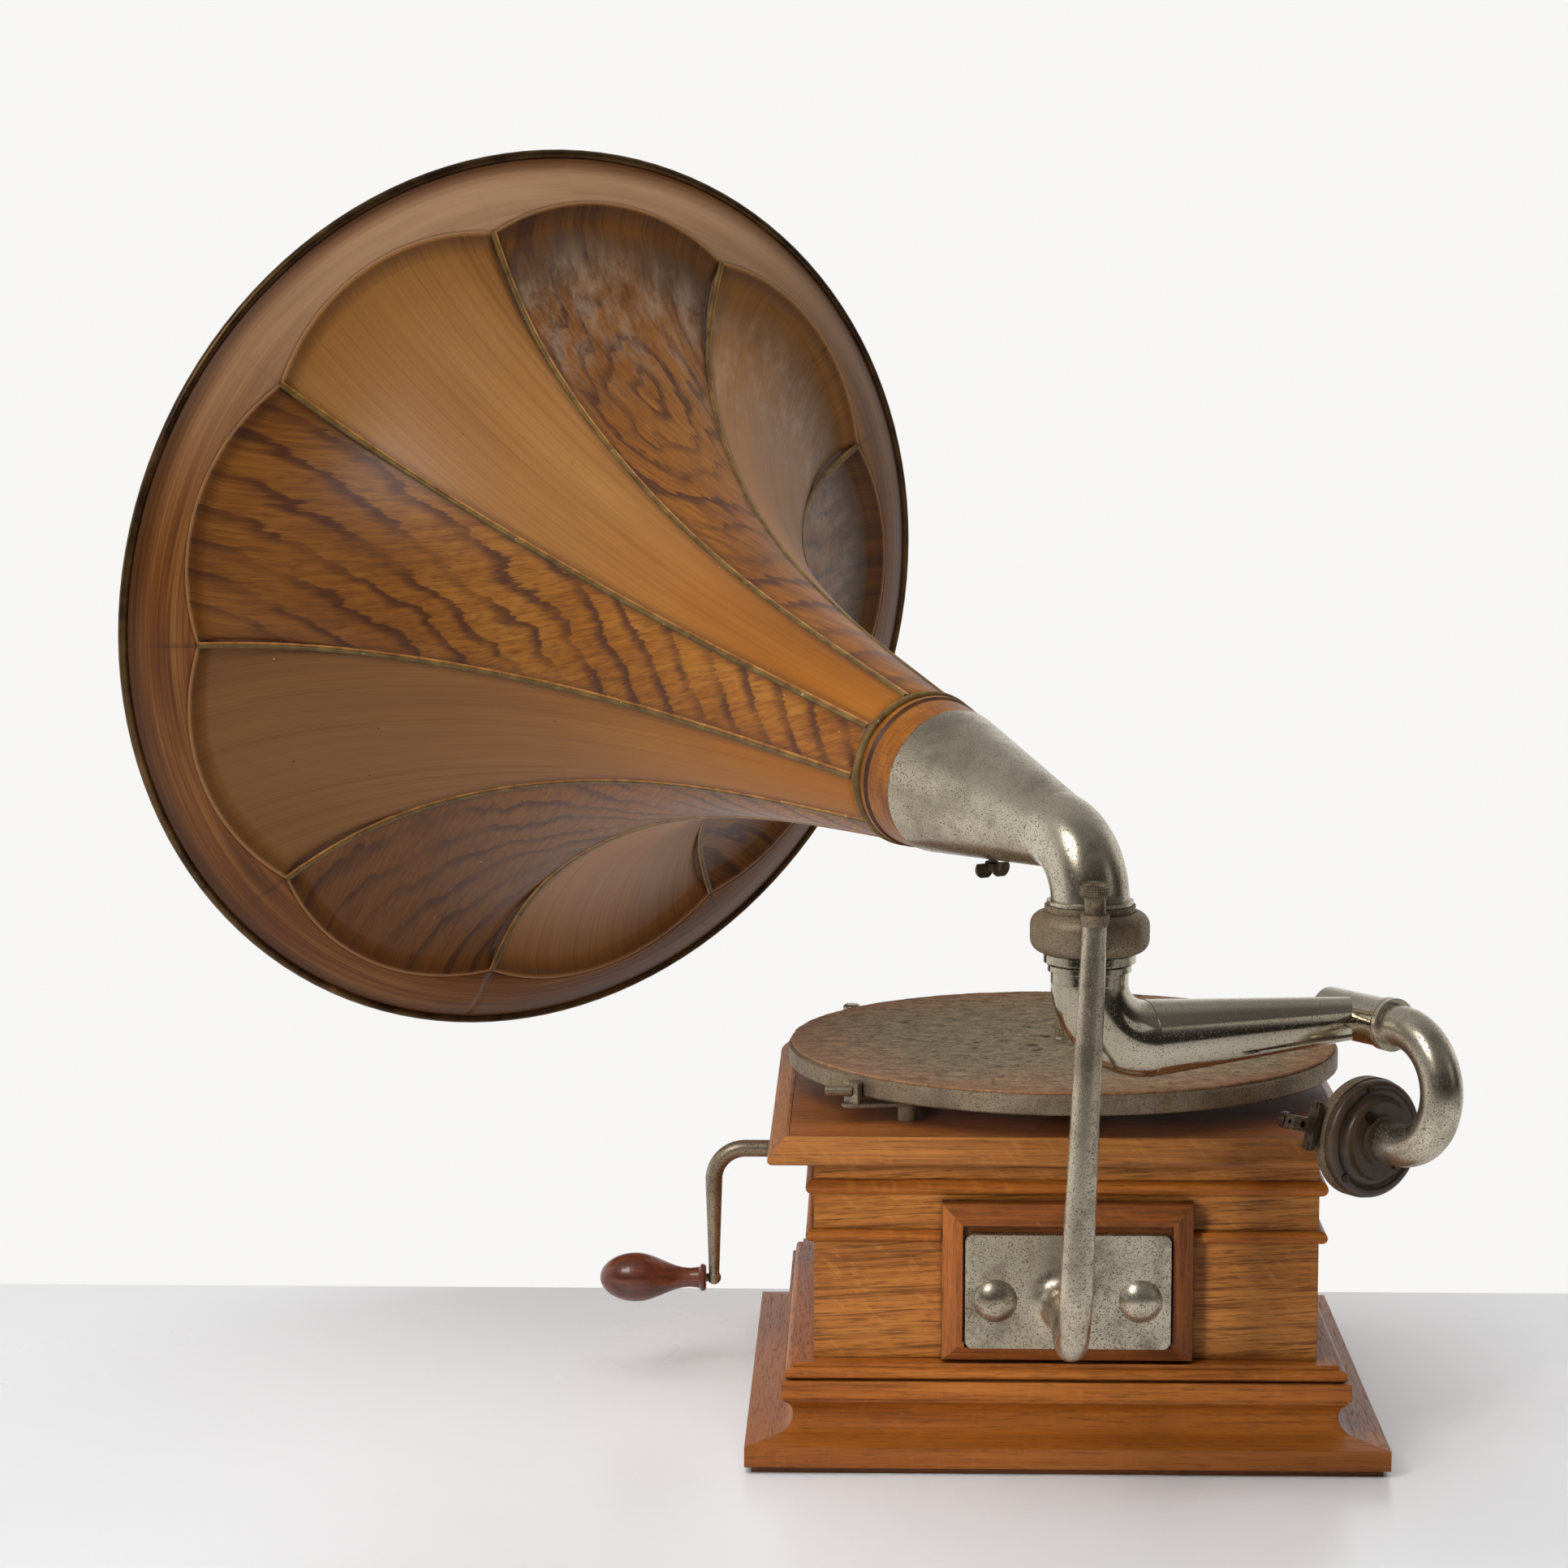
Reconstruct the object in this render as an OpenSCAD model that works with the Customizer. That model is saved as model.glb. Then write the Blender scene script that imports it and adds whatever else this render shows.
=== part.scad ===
// Table-top gramophone with a petalled tin horn, a swinging tone arm and a spring motor.
// Millimetres, +Z up. The bracket is on the -Y side and the crank on the -X side.
// The origin is the centre of the underside of the base board.

/* [Base and plinth] */
// Width of the plinth along X
plinth_w = 282; // [272:1:320]
// Depth of the plinth along Y
plinth_d = 274; // [264:1:310]
// Thickness of the base board
base_h = 3; // [2:0.5:6]
// How far the base board stands back from the plinth's edge
base_inset = 3; // [1:0.5:8]
// Height of the plinth's square lower edge
block_h = 9; // [6:0.5:14]
// Rise of the sloping shelf above the lower edge
shelf_rise = 2; // [1:0.5:4]
// Depth of the sloping shelf
shelf_d = 13.7; // [10:0.1:16]
// Radius of the hollow above the shelf
scotia_r = 7.3; // [5:0.1:9]
// Height of the narrow fillet above the hollow
listel_h = 1.9; // [1:0.1:3]
// How far the flat band stands back from the plinth's edge
band_inset = 15.8; // [13:0.1:18]
// Height of the flat band
band_h = 7.7; // [5:0.1:12]
// Radius of the round bead above the band
plinth_bead_r = 2.7; // [2:0.1:4]
// Height of the fillet that the case stands on
plinth_top_h = 1.9; // [1:0.1:4]
// How far that fillet stands back from the plinth's edge
plinth_top_inset = 21; // [19:0.1:26]
// Width of the plinth's frame, seen from above
plinth_frame_w = 44; // [42:1:60]

/* [Case] */
// How far the case stands back from the plinth's edge
body_inset = 29.9; // [27:0.1:31]
// Height of the case panels
body_h = 90.5; // [84:0.5:110]
// Thickness of the case panels
wall = 9; // [7:0.5:11]
// Radius of the upper bead
upper_bead_r = 3.4; // [2.5:0.1:4]
// Height of the upper bead above the plinth
upper_bead_z = 74; // [73.8:0.1:75]
// Radius of the lower bead
lower_bead_r = 2.8; // [2:0.1:3.4]
// How far both beads stand out from the case
bead_out = 3.6; // [3.5:0.1:4.5]
// Height of the lower bead above the plinth
lower_bead_z = 52.8; // [50:0.1:54]
// How far the cap stands back from the plinth's edge
cap_inset = 9.8; // [7:0.1:12]
// Height of the cap
cap_h = 11.7; // [11:0.1:16]
// Radius of the cap's rounded lower edge
cap_edge_r = 2.6; // [1.5:0.1:3]
// Width of the cap's sloping moulding
cap_slope_w = 9.3; // [7:0.1:12]
// Width of the cap frame, seen from above
cap_frame_w = 30; // [26:1:34]
// Thickness of the motor board, which lies flush with the cap
board_t = 8; // [6:0.5:8.5]
// Gap round the motor board
board_gap = 0.2; // [0.1:0.1:1]

/* [Bracket] */
// Middle of the bracket plate along X
plate_x = 0.5; // [-3:0.5:3]
// Height of the bracket plate's middle above the plinth
plate_rise = 33.7; // [33:0.1:36]
// Width of the bracket plate
plate_w = 90; // [84:1:92]
// Height of the bracket plate
plate_h = 51; // [46:1:51]
// Thickness of the bracket plate
plate_t = 5; // [3:0.5:8]
// Corner radius of the bracket plate
plate_r = 3.5; // [2:0.5:8]
// Width of the wooden backing frame
backing_w = 110; // [108:1:130]
// Height of the wooden backing frame
backing_h = 70; // [70:1:72]
// Thickness of the wooden backing frame
backing_t = 12; // [10:0.5:16]
// Width of the backing's sloping border
backing_border = 9; // [7:0.5:9.5]
// Depth of the backing's middle below its border
backing_sink = 2.5; // [1:0.5:4]
// Distance between the two bracket bolts
bolt_span = 63.6; // [58:0.2:66]
// How far the bolts sit below the plate's middle
bolt_drop = 4; // [0:0.5:8]
// Radius of the bolts' domed heads
bolt_head_r = 9.6; // [8:0.1:11]
// Height of the bolts' domed heads
bolt_head_h = 4.5; // [3:0.1:6]
// Radius of the bolts' shanks
bolt_r = 3.5; // [3:0.1:4]
// Radius of the bracket arm at the bottom
arm_r = 7; // [6:0.1:7.5]
// Radius of the bracket arm at the top
arm_top_r = 5.2; // [4.6:0.1:5.8]
// Bend radius of the bracket arm
arm_bend = 26; // [14:1:30]
// Radius of the flared root of the bracket arm at the plate
arm_root_r = 17; // [12:0.5:20]
// How far the arm's root sits below the plate's middle
arm_root_drop = 5.5; // [3:0.5:7]
// How far the arm's root sits left of the plate's middle
arm_root_side = 2; // [0:0.5:4]
// Distance from the arm to the swivel axis, towards the front of the bracket
arm_reach = 27; // [26.5:0.1:30]
// How far the top of the arm stands right of the swivel axis
arm_side = 0.7; // [0:0.1:2]

/* [Swivel] */
// Swivel axis of tone arm and horn along X
pivot_x = 5.2; // [0:0.1:8]
// Distance from the case's back to the swivel axis
pivot_out = 77.9; // [74:0.1:90]
// Height of the collar's underside above the motor board
collar_rise = 93.3; // [90:0.1:110]
// Height of the collar
collar_h = 17.4; // [17:0.1:22]
// Largest radius of the collar
collar_r = 25; // [23:0.2:25.5]
// Radius of the collar's rounded edges
collar_edge_r = 6; // [4:0.1:7]
// Height of the collar's inner shoulder, which carries the tone arm
shoulder_h = 9.6; // [8:0.1:12]
// Radius of the tone arm's swivel spigot
spigot_r = 14.5; // [13:0.1:14.5]
// Running clearance of the turning fits
fit = 0.05; // [0.02:0.01:0.08]
// Clearance between parts that pass each other
pass = 0.3; // [0.2:0.05:0.6]
// Thickness of the keeper plate
keeper_t = 2.7; // [2:0.1:4]
// Radius of the keeper plate
keeper_r = 19; // [18.6:0.1:20]
// Radius of the keeper's lug under the thumbscrew
lug_r = 6; // [5.5:0.1:6.5]
// Height of the boss under that lug, which stands on the bracket's arm
lug_boss_h = 2.2; // [1.5:0.1:3]
// Radius of the thumbscrew's shank
thumb_shank_r = 2.4; // [2:0.1:2.8]
// Radius of the thumbscrew's neck
thumb_neck_r = 4.4; // [3.5:0.1:5]
// Height of the thumbscrew's neck
thumb_neck_h = 7.2; // [4:0.2:7.5]
// Radius of the thumbscrew's head
thumb_r = 6.5; // [5.5:0.1:7]
// Height of the thumbscrew's head
thumb_h = 5.6; // [4:0.2:6]

/* [Horn] */
// Compass angle of the horn's axis, from +X towards +Y
horn_az = 123.15; // [110:0.05:135]
// Angle of the horn's axis above level
horn_el = 8.28; // [6:0.01:14]
// Height of the elbow's corner above the collar
elbow_rise = 27.8; // [27:0.1:34]
// Outside radius of the elbow's upright tube
elbow_r = 16.5; // [15.5:0.1:16.5]
// Outside radius of the elbow's wide end
elbow_end_r = 32.1; // [31.5:0.1:33]
// Distance along the axis to the elbow's wide end
elbow_len = 106; // [100:1:112]
// Bend radius of the elbow
elbow_bend = 28; // [24:0.5:29]
// Sheet thickness of elbow and tone arm
tube_t = 1.2; // [0.8:0.1:2]
// How far the ferrule goes into the elbow
ferrule_in = 20; // [12:1:30]
// Distance along the axis to the throat ring
throat_s = 129; // [126:1:140]
// Radius of the throat ring's bead
throat_bead_r = 2; // [1.5:0.1:3]
// Outside radius of the horn at the throat ring
throat_r = 33; // [32.5:0.1:36]
// Distance along the axis to the petals' corners
tip_s = 473; // [440:1:520]
// Outside radius at the petals' corners
tip_r = 195.4; // [180:0.2:215]
// How far the middle of a petal's arched end reaches past its corners
arch_rise = 10; // [6:0.5:13]
// How far the rim lies in front of the petals' corners
rim_out = 18; // [14:0.5:24]
// Width of the rim, from the petals' corners to the middle of its rolled wire
rim_w = 31.2; // [28:0.2:36]
// Radius of the rolled rim's wire
rim_wire_r = 2.4; // [1.5:0.1:4]
// Number of petals
petals = 9; // [9:1:9]
// Turn of the first seam about the horn's axis, from straight down
seam_turn = 6.4; // [0:0.1:40]
// Sheet thickness of the horn
horn_t = 0.8; // [0.5:0.1:1.5]
// Width of the seam ribs
rib_w = 3.2; // [2:0.1:5]
// Height of the seam ribs
rib_h = 1; // [0.5:0.1:2]
// Share of the horn's widening that is a straight cone
flare_cone = 0.33; // [0.25:0.01:0.45]
// Share of the widening that is in the sharp curve at the mouth
flare_lip = 0.17; // [0.05:0.01:0.25]
// Width of the wing screw's wings
wing_w = 17; // [12:0.5:22]
// Distance along the axis to the wing screw
wing_s = 68; // [58:1:80]
// Radius of the wing screw's shank
wing_screw_r = 2; // [1.5:0.1:2.5]

/* [Tone arm] */
// Depth of the tone arm's axis below the collar
arm_drop = 38.2; // [37:0.1:42]
// Angle by which the tone arm rises towards the cross tube
tone_tilt = 1.9; // [0:0.1:3]
// Compass angle of the tone arm at rest
tone_az = 19.5; // [18:0.5:20]
// Distance from the swivel axis to the cross tube
tone_len = 124.8; // [124:0.2:128]
// Outside radius of the tone arm at its bend
tone_r = 16.4; // [14.5:0.1:16.5]
// Outside radius of the tone arm at the cross tube
tone_end_r = 9; // [8:0.1:9.5]
// Bend radius of the tone arm
tone_bend = 26; // [22:0.5:28]
// Compass angle of the cross tube's square direction
tee_az = 35; // [33:0.5:38]
// Outside radius of the cross tube
tee_r = 10.5; // [10:0.1:11.5]
// Half length of the cross tube
tee_half = 19.5; // [17:0.5:22]
// Radius of the gooseneck's spigot inside the cross tube
neck_spigot_r = 8.9; // [8:0.1:9.2]
// Outside radius of the gooseneck
neck_r = 9; // [8:0.1:9.4]
// Half distance between the gooseneck's two legs
neck_bend = 25.5; // [24:0.5:29]
// Distance from the cross tube's middle to the start of the bend
neck_out = 26.5; // [25:0.5:30]
// Radius of the beads where cross tube and gooseneck meet
neck_bead_r = 11.4; // [11.2:0.1:12.5]
// Width of each of those beads
neck_bead_w = 2.4; // [1.5:0.1:3]

/* [Soundbox] */
// Turn of the soundbox on the gooseneck at rest, which lifts its needle
box_turn = 15; // [0:1:20]
// Distance from the cross tube's middle to the soundbox's face
box_face = 1.8; // [1.8:0.1:4]
// Radius of the soundbox's metal ring
box_r = 26; // [24:0.2:27]
// Width of the soundbox's metal ring
box_ring_w = 6.4; // [5.5:0.1:6.6]
// Radius of the sounding opening
box_open_r = 20.5; // [18:0.2:21]
// Radius of the dark rubber back
box_back_r = 25.5; // [23.5:0.1:26.5]
// Thickness of the rubber back
box_back_t = 4.4; // [3.5:0.1:4.6]
// Radius of the step on the rubber back
box_step_r = 16.6; // [15:0.2:17]
// Height of the step on the rubber back
box_step_h = 3.8; // [3:0.1:4]
// Radius of the socket that takes the gooseneck
box_socket_r = 11; // [10.8:0.1:11.8]
// Height of that socket
box_socket_h = 2.2; // [1.5:0.1:2.6]
// Thickness of the mica diaphragm
mica_t = 0.4; // [0.2:0.1:0.6]
// Thickness of each gasket
gasket_t = 1.1; // [0.8:0.1:1.3]
// Thickness of the needle bar
bar_t = 1.3; // [0.8:0.1:1.4]
// Reach of the needle holder outside the soundbox
holder_len = 15; // [12:0.5:18]
// Radius of the needle screw's knob
knob_r = 3.6; // [3:0.1:4.5]

/* [Turntable] */
// Middle of the turntable along X
spindle_x = 2.5; // [-2:0.5:4]
// Radius of the turntable
platter_r = 127; // [118:1:130]
// Height of the platter's rim
platter_h = 8.9; // [7:0.1:12]
// Gap between the motor board and the platter's rim
platter_gap = 11.2; // [10.8:0.1:16]
// Thickness of the platter's sheet
platter_t = 2; // [1.5:0.1:3]
// Thickness of the felt
felt_t = 1.6; // [1:0.1:3]
// How far the felt stands back from the platter's edge
felt_inset = 0.8; // [0.5:0.1:4]
// Radius of the spindle's end, which centres a record
record_pin_r = 3.6; // [3.4:0.05:3.6]
// Height of the spindle above the felt
record_pin_h = 9; // [6:0.5:14]
// Height of the cone between the spindle's shoulder and the pin
pin_fillet = 0.8; // [0.5:0.1:1.2]
// Radius of the spindle inside the motor
spindle_r = 4; // [3.8:0.1:4.5]

/* [Brake and regulator] */
// Compass angle of the brake's finger tab, seen from the spindle
brake_az = 222; // [220:0.5:226]
// Compass angle of the brake's pivot, seen from the spindle
brake_pivot_az = 229; // [227:0.5:232]
// Distance from the spindle to the brake's pivot
brake_pivot_d = 110; // [106:0.5:114]
// Gap between the brake pad and the platter at rest
brake_gap = 0.9; // [0.7:0.1:1.5]
// Thickness of the brake's strip
brake_t = 1.5; // [1:0.1:2]
// Width of the brake's strip
brake_w = 9; // [7:0.5:11]
// Radius of the brake's finger peg
peg_r = 2.4; // [1.5:0.1:3]
// Length of the brake's finger peg
peg_len = 12; // [8:0.5:16]
// Compass angle of the speed regulator, seen from the spindle
regulator_az = 137.6; // [132:0.1:142]
// Gap between the speed regulator's knob and the platter
regulator_gap = 2.2; // [1:0.1:4]
// Height of the speed regulator's knob above the motor board
regulator_h = 21; // [14:0.5:24]
// Radius of the speed regulator's knob
regulator_r = 4.2; // [3.5:0.1:6]

/* [Crank] */
// Place of the crank's shaft along Y
crank_y = 20; // [16:0.5:24]
// Height of the crank's shaft above the plinth
crank_rise = 66.5; // [66:0.1:67]
// Radius of the crank's shaft
crank_r = 4; // [3.5:0.1:4.5]
// Distance from the case's side to the crank's arm
crank_out = 49.4; // [44:0.2:60]
// Bend radius of the crank
crank_bend = 15; // [10:0.5:20]
// Throw of the crank
crank_throw = 62.5; // [55:0.5:66]
// Radius of the crank's arm at its end
crank_end_r = 2.4; // [2:0.1:3]
// Radius of the ball at the crank's end
crank_ball_r = 3.3; // [3:0.1:5]
// Radius of the pin that the handle turns on
handle_pin_r = 1.9; // [1.5:0.1:2.2]
// Length of the handle
handle_len = 50.4; // [44:0.2:60]
// Largest radius of the handle
handle_r = 11.6; // [10:0.1:14]
// Radius of the handle's neck
handle_neck_r = 4.5; // [4:0.1:6]
// Radius of the handle's flange
handle_flange_r = 6.4; // [5:0.1:8]
// Radius of the crank bush's flange
bush_r = 7; // [6.5:0.1:7.2]

/* [Motor] */
// Width of the motor's two plates
motor_w = 150; // [150:1:154]
// Depth of the motor's two plates
motor_d = 98; // [98:1:102]
// Depth of the crank's bearing block under the motor plate
bearing_d = 16; // [14:1:20]
// Tooth size of the barrel's wheel and the winding wheels, as pitch diameter per tooth
drive_mod = 1.25; // [1.2:0.05:1.3]
// Teeth of the barrel's great wheel
great_teeth = 64; // [64:1:64]
// Teeth of the intermediate pinion
inter_pinion_teeth = 16; // [16:1:16]
// Tooth size of the intermediate wheel
train_mod = 1; // [0.96:0.02:1.02]
// Teeth of the intermediate wheel
inter_teeth = 60; // [60:1:60]
// Teeth of the spindle's pinion
spindle_teeth = 15; // [15:1:15]
// Tooth size of the governor's wheel
governor_mod = 0.8; // [0.76:0.02:0.8]
// Teeth of the governor's wheel on the spindle
governor_wheel_teeth = 80; // [80:1:80]
// Teeth of the governor's pinion
governor_teeth = 12; // [12:1:12]
// Teeth of the winding pinion on the crank
winding_teeth = 16; // [16:1:16]
// Teeth of the bevel wheel on the barrel's arbor
bevel_teeth = 32; // [32:1:32]
// Face width of the bevel wheels along the cone
bevel_face = 9; // [6:0.5:10]
// Play between teeth at the pitch circle
backlash = 0.4; // [0.3:0.05:0.6]
// Place of the barrel's arbor along X
barrel_x = -50; // [-52:0.5:-48]
// Radius of the spring barrel
barrel_r = 36; // [34:0.5:37]
// Height of the spring barrel
barrel_h = 30; // [24:0.5:34]
// Depth of the barrel's top below the crank's shaft
barrel_drop = 19; // [18.5:0.5:22]
// Wall of the spring barrel
barrel_t = 2; // [1.5:0.1:3]
// Radius of the barrel's arbor
arbor_r = 4; // [3.5:0.1:4.5]
// Turns of the mainspring
spring_turns = 7; // [4:1:9]
// Thickness of the mainspring
spring_t = 0.9; // [0.5:0.1:1.2]
// Thickness of the motor's two plates
motor_plate_t = 4; // [3:0.5:5]
// Gap between motor board and motor plate
motor_gap = 5.7; // [5:0.1:8]
// Radius of the motor's pillars
pillar_r = 4; // [3:0.5:5]
// Radius of the motor's hanging screws
screw_r = 2; // [1.5:0.1:2.5]
// Radius of the governor's shaft
governor_r = 2; // [1.8:0.1:2.5]
// Radius of the governor's friction disc
disc_r = 14; // [11:0.5:16]
// Radius of the governor's weights
weight_r = 4.5; // [3.5:0.1:5.5]

/* [Hidden] */
$fn = 64;

// Stack of heights
listel_dip = 1;
scotia_y = block_h + shelf_rise + scotia_r;
listel_y = scotia_y + scotia_r - listel_dip;
band_y = listel_y + listel_h;
plinth_bead_y = band_y + band_h;
plinth_top_y = plinth_bead_y + 2 * plinth_bead_r;
plinth_h = plinth_top_y + plinth_top_h;
z_body = base_h + plinth_h;
z_cap = z_body + body_h;
z_top = z_cap + cap_h;
body_w = plinth_w - 2 * body_inset;
body_d = plinth_d - 2 * body_inset;
cap_w = plinth_w - 2 * cap_inset;
cap_d = plinth_d - 2 * cap_inset;
board_w = cap_w - 2 * cap_slope_w;
board_d = cap_d - 2 * cap_slope_w;

// Bends are a hair thinner than the straight pieces, which run a little way into them
hair = 0.05;
join = 0.5;

// Petals painted with dark figured wood, the others have straight grain
figured_petals = [1, 3, 5, 7, 8];

// Heights of a bevel tooth above and below its pitch line, in modules
bevel_tip = 0.55;
bevel_root = 0.8;

// Bracket and swivel
y_back = -body_d / 2;
y_plate = y_back - backing_t + backing_sink;
z_plate = z_body + plate_rise;
backing_z = z_body + backing_h / 2 + 1.5;
z_root = z_plate - arm_root_drop;
root_x = plate_x - arm_root_side;
arm_x = pivot_x + arm_side;
pivot_y = y_back - pivot_out;
arm_y = pivot_y - arm_reach;
z_collar = z_top + collar_rise;
z_shoulder = z_collar + shoulder_h;
z_keeper = z_collar + collar_h;
z_elbow = z_keeper + elbow_rise;
arm_lean = atan2(arm_x - root_x, z_keeper - z_root);
arm_rise = (z_keeper - z_root) / cos(arm_lean) - arm_bend;
elbow_bore_r = elbow_r + fit;
spigot_bore_r = spigot_r + fit;
retainer_t = 2.8;

// Horn: outside radius at a distance along its axis
flare_power = 3.4;
lip_power = 20;
function horn_u(s) = (s - throat_s) / (tip_s - throat_s);
flare_bell = 1 - flare_cone - flare_lip;
function flare(u) = flare_cone * u + flare_bell * pow(u, flare_power) + flare_lip * pow(u, lip_power);
function horn_r(s) = throat_r + (tip_r - throat_r) * flare(max(0, horn_u(s)));
petal_steps = 26;
petal_start = throat_s + throat_bead_r + 0.2;
function petal_s(i) = petal_start + (tip_s - petal_start) * sin(90 * i / petal_steps);
petal_sweep = 360 / petals;

rim_s = tip_s + rim_out;
rim_r = tip_r + rim_w;

// Rim: one curve that carries on the petals' slope and cups forward to the rolled wire
tip_slope = (tip_r - throat_r) / (tip_s - throat_s)
  * (flare_cone + flare_bell * flare_power + flare_lip * lip_power);
rim_slope = 1.1;
turn_s = tip_s + (rim_w - rim_slope * rim_out) / (tip_slope - rim_slope);
turn_r = tip_r + tip_slope * (turn_s - tip_s);
rim_steps = 10;
function bow(a, b, c, t) = (1 - t) * (1 - t) * a + 2 * t * (1 - t) * b + t * t * c;
function rim_point(i) = [bow(tip_r, turn_r, rim_r, i / rim_steps), bow(tip_s, turn_s, rim_s, i / rim_steps)];
arch_r = tip_r + arch_rise;
arch_d = (arch_r * arch_r - tip_r * tip_r) / (2 * (arch_r - tip_r * cos(petal_sweep / 2)));
arch_steps = ceil(rim_steps * 0.6);
arch_gap = 0.1;
ferrule_tail = elbow_len - ferrule_in;
elbow_tangent = elbow_bend * tan(45 - horn_el / 2);
elbow_taper = (elbow_end_r - elbow_r) / (elbow_len - elbow_tangent);
function elbow_cone_r(s) = elbow_r + elbow_taper * (s - elbow_tangent);

// Tone arm and soundbox
z_tone = z_collar - arm_drop;
tone_run = tone_len - tone_bend * (1 + sin(tone_tilt));
tone_taper = (tone_r - tone_end_r) * cos(tone_tilt) / tone_run;
z_tee = z_tone + tone_bend * (1 - cos(tone_tilt)) + tone_run * tan(tone_tilt);
tee_x = pivot_x + tone_len * cos(tone_az);
tee_y = pivot_y + tone_len * sin(tone_az);
collar_gap = 0.3;
neck_bore_r = neck_spigot_r + fit;
neck_tube_r = neck_r - tube_t;
box_z = -2 * neck_bend;
ring_back = box_face + box_ring_w;
flange_back = ring_back + box_back_t;
step_back = flange_back + box_step_h;
socket_back = step_back + box_socket_h;
lip_t = 1.4;
gasket_front = box_face + lip_t;
mica_front = gasket_front + gasket_t;
mica_r = box_r - 3;
bar_pivot_x = -box_r - 1.2;
holder_w = 6;
holder_x = bar_pivot_x - holder_len;
screw_place = bar_pivot_x - 10;

// Turntable
z_rim = z_top + platter_gap;
z_platter = z_rim + platter_h;
z_felt = z_platter + felt_t;
hub_r = 14;

// Brake, whose strip runs under the platter's rim
brake_z = z_rim - 4.2;
tab_h = 10.8;
pad_t = 2;
tab_d = platter_r + brake_gap + pad_t;
tab_x = spindle_x + (tab_d + brake_t / 2) * cos(brake_az);
tab_y = (tab_d + brake_t / 2) * sin(brake_az);
brake_x = spindle_x + brake_pivot_d * cos(brake_pivot_az);
brake_y = brake_pivot_d * sin(brake_pivot_az);
brake_len = norm([tab_x - brake_x, tab_y - brake_y]);
brake_turn = atan2(tab_y - brake_y, tab_x - brake_x);
brake_screw_r = 2.5;

regulator_stem_r = 2.5;
regulator_d = platter_r + regulator_gap + regulator_r;
regulator_x = spindle_x + regulator_d * cos(regulator_az);
regulator_y = regulator_d * sin(regulator_az);
regulator_tail = 5;

// Crank
z_crank = z_body + crank_rise;
crank_x = -body_w / 2 - crank_out;
z_handle = z_crank - crank_throw;
shaft_tail = bevel_teeth * drive_mod / 2 - bevel_face * cos(atan2(winding_teeth, bevel_teeth));

// Motor
great_r = great_teeth * drive_mod / 2;
inter_d = (great_teeth + inter_pinion_teeth) * drive_mod / 2;
spindle_d = (inter_teeth + spindle_teeth) * train_mod / 2;
governor_d = (governor_wheel_teeth + governor_teeth) * governor_mod / 2;
barrel_span = norm([spindle_x - barrel_x, -crank_y]);
barrel_turn = atan2(-crank_y, spindle_x - barrel_x);
inter_turn = barrel_turn - acos((inter_d * inter_d + barrel_span * barrel_span - spindle_d * spindle_d)
  / (2 * inter_d * barrel_span));
inter_x = barrel_x + inter_d * cos(inter_turn);
inter_y = crank_y + inter_d * sin(inter_turn);
inter_to_spindle = atan2(-inter_y, spindle_x - inter_x);
governor_x = spindle_x + governor_d;
z_motor_top = z_top - board_t - motor_gap;
z_motor_plate = z_motor_top - motor_plate_t;
z_barrel_top = z_crank - barrel_drop;
z_barrel = z_barrel_top - barrel_h;
z_motor_base = z_barrel - 6;
great_w = 6;
train_z = z_barrel_top + 2.5;
train_w = 3.5;
governor_wheel_z = z_crank + 3;
governor_wheel_w = 3;
winding_r = winding_teeth * drive_mod / 2;
bevel_r = bevel_teeth * drive_mod / 2;
z_bevel = z_crank - winding_r;
inter_r = 3;
shaft_places = [[spindle_x, 0, spindle_r], [barrel_x, crank_y, arbor_r], [inter_x, inter_y, inter_r],
  [governor_x, 0, governor_r]];
pillar_places = [[-80, -36], [55, -38], [55, 38], [0, 48]];
screw_places = [[-80, 44], [-60, -36], [55, 0], [20, 48]];
bearing_x = barrel_x - 30;
bearing_w = 8;
disc_z = z_barrel + 5;
governor_top_z = z_barrel_top + 6;
weight_z = (disc_z + governor_top_z) / 2;
spring_reach = 15;

// Colours
oak = "#b5713a";
dark_oak = "#96562a";
nickel = "#b9b4a6";
rusty_nickel = "#8f7f6a";
brass = "#9a7b3c";
steel = "#8a8d90";
iron = "#4a4a4c";
rubber = "#23221f";
tin_plain = "#b87a34";
tin_figured = "#8a5522";

// Carries a profile (x inward, y up) round a w by d rectangle, mitred at the corners
module moulding(w, d, reach, tall) {
  for (turn = [0 : 3]) {
    run = turn % 2 == 0 ? w : d;
    edge = turn % 2 == 0 ? d / 2 : w / 2;
    inner = run / 2 - reach;
    rotate([0, 0, turn * 90])
      intersection() {
        translate([0, -edge, 0])
          rotate([90, 0, 90])
            linear_extrude(run, center = true)
              children();
        translate([0, 0, -1])
          linear_extrude(tall + 2)
            polygon([[-run / 2, -edge], [run / 2, -edge], [inner, reach - edge], [-inner, reach - edge]]);
      }
  }
}

// A block with its middle over the origin
module slab(w, d, h) {
  translate([-w / 2, -d / 2, 0])
    cube([w, d, h]);
}

// A tube or rod along -Y, from one distance to another
module along_tee(from, to, r) {
  translate([0, -from, 0])
    rotate([90, 0, 0])
      cylinder(h = to - from, r = r);
}

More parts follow.
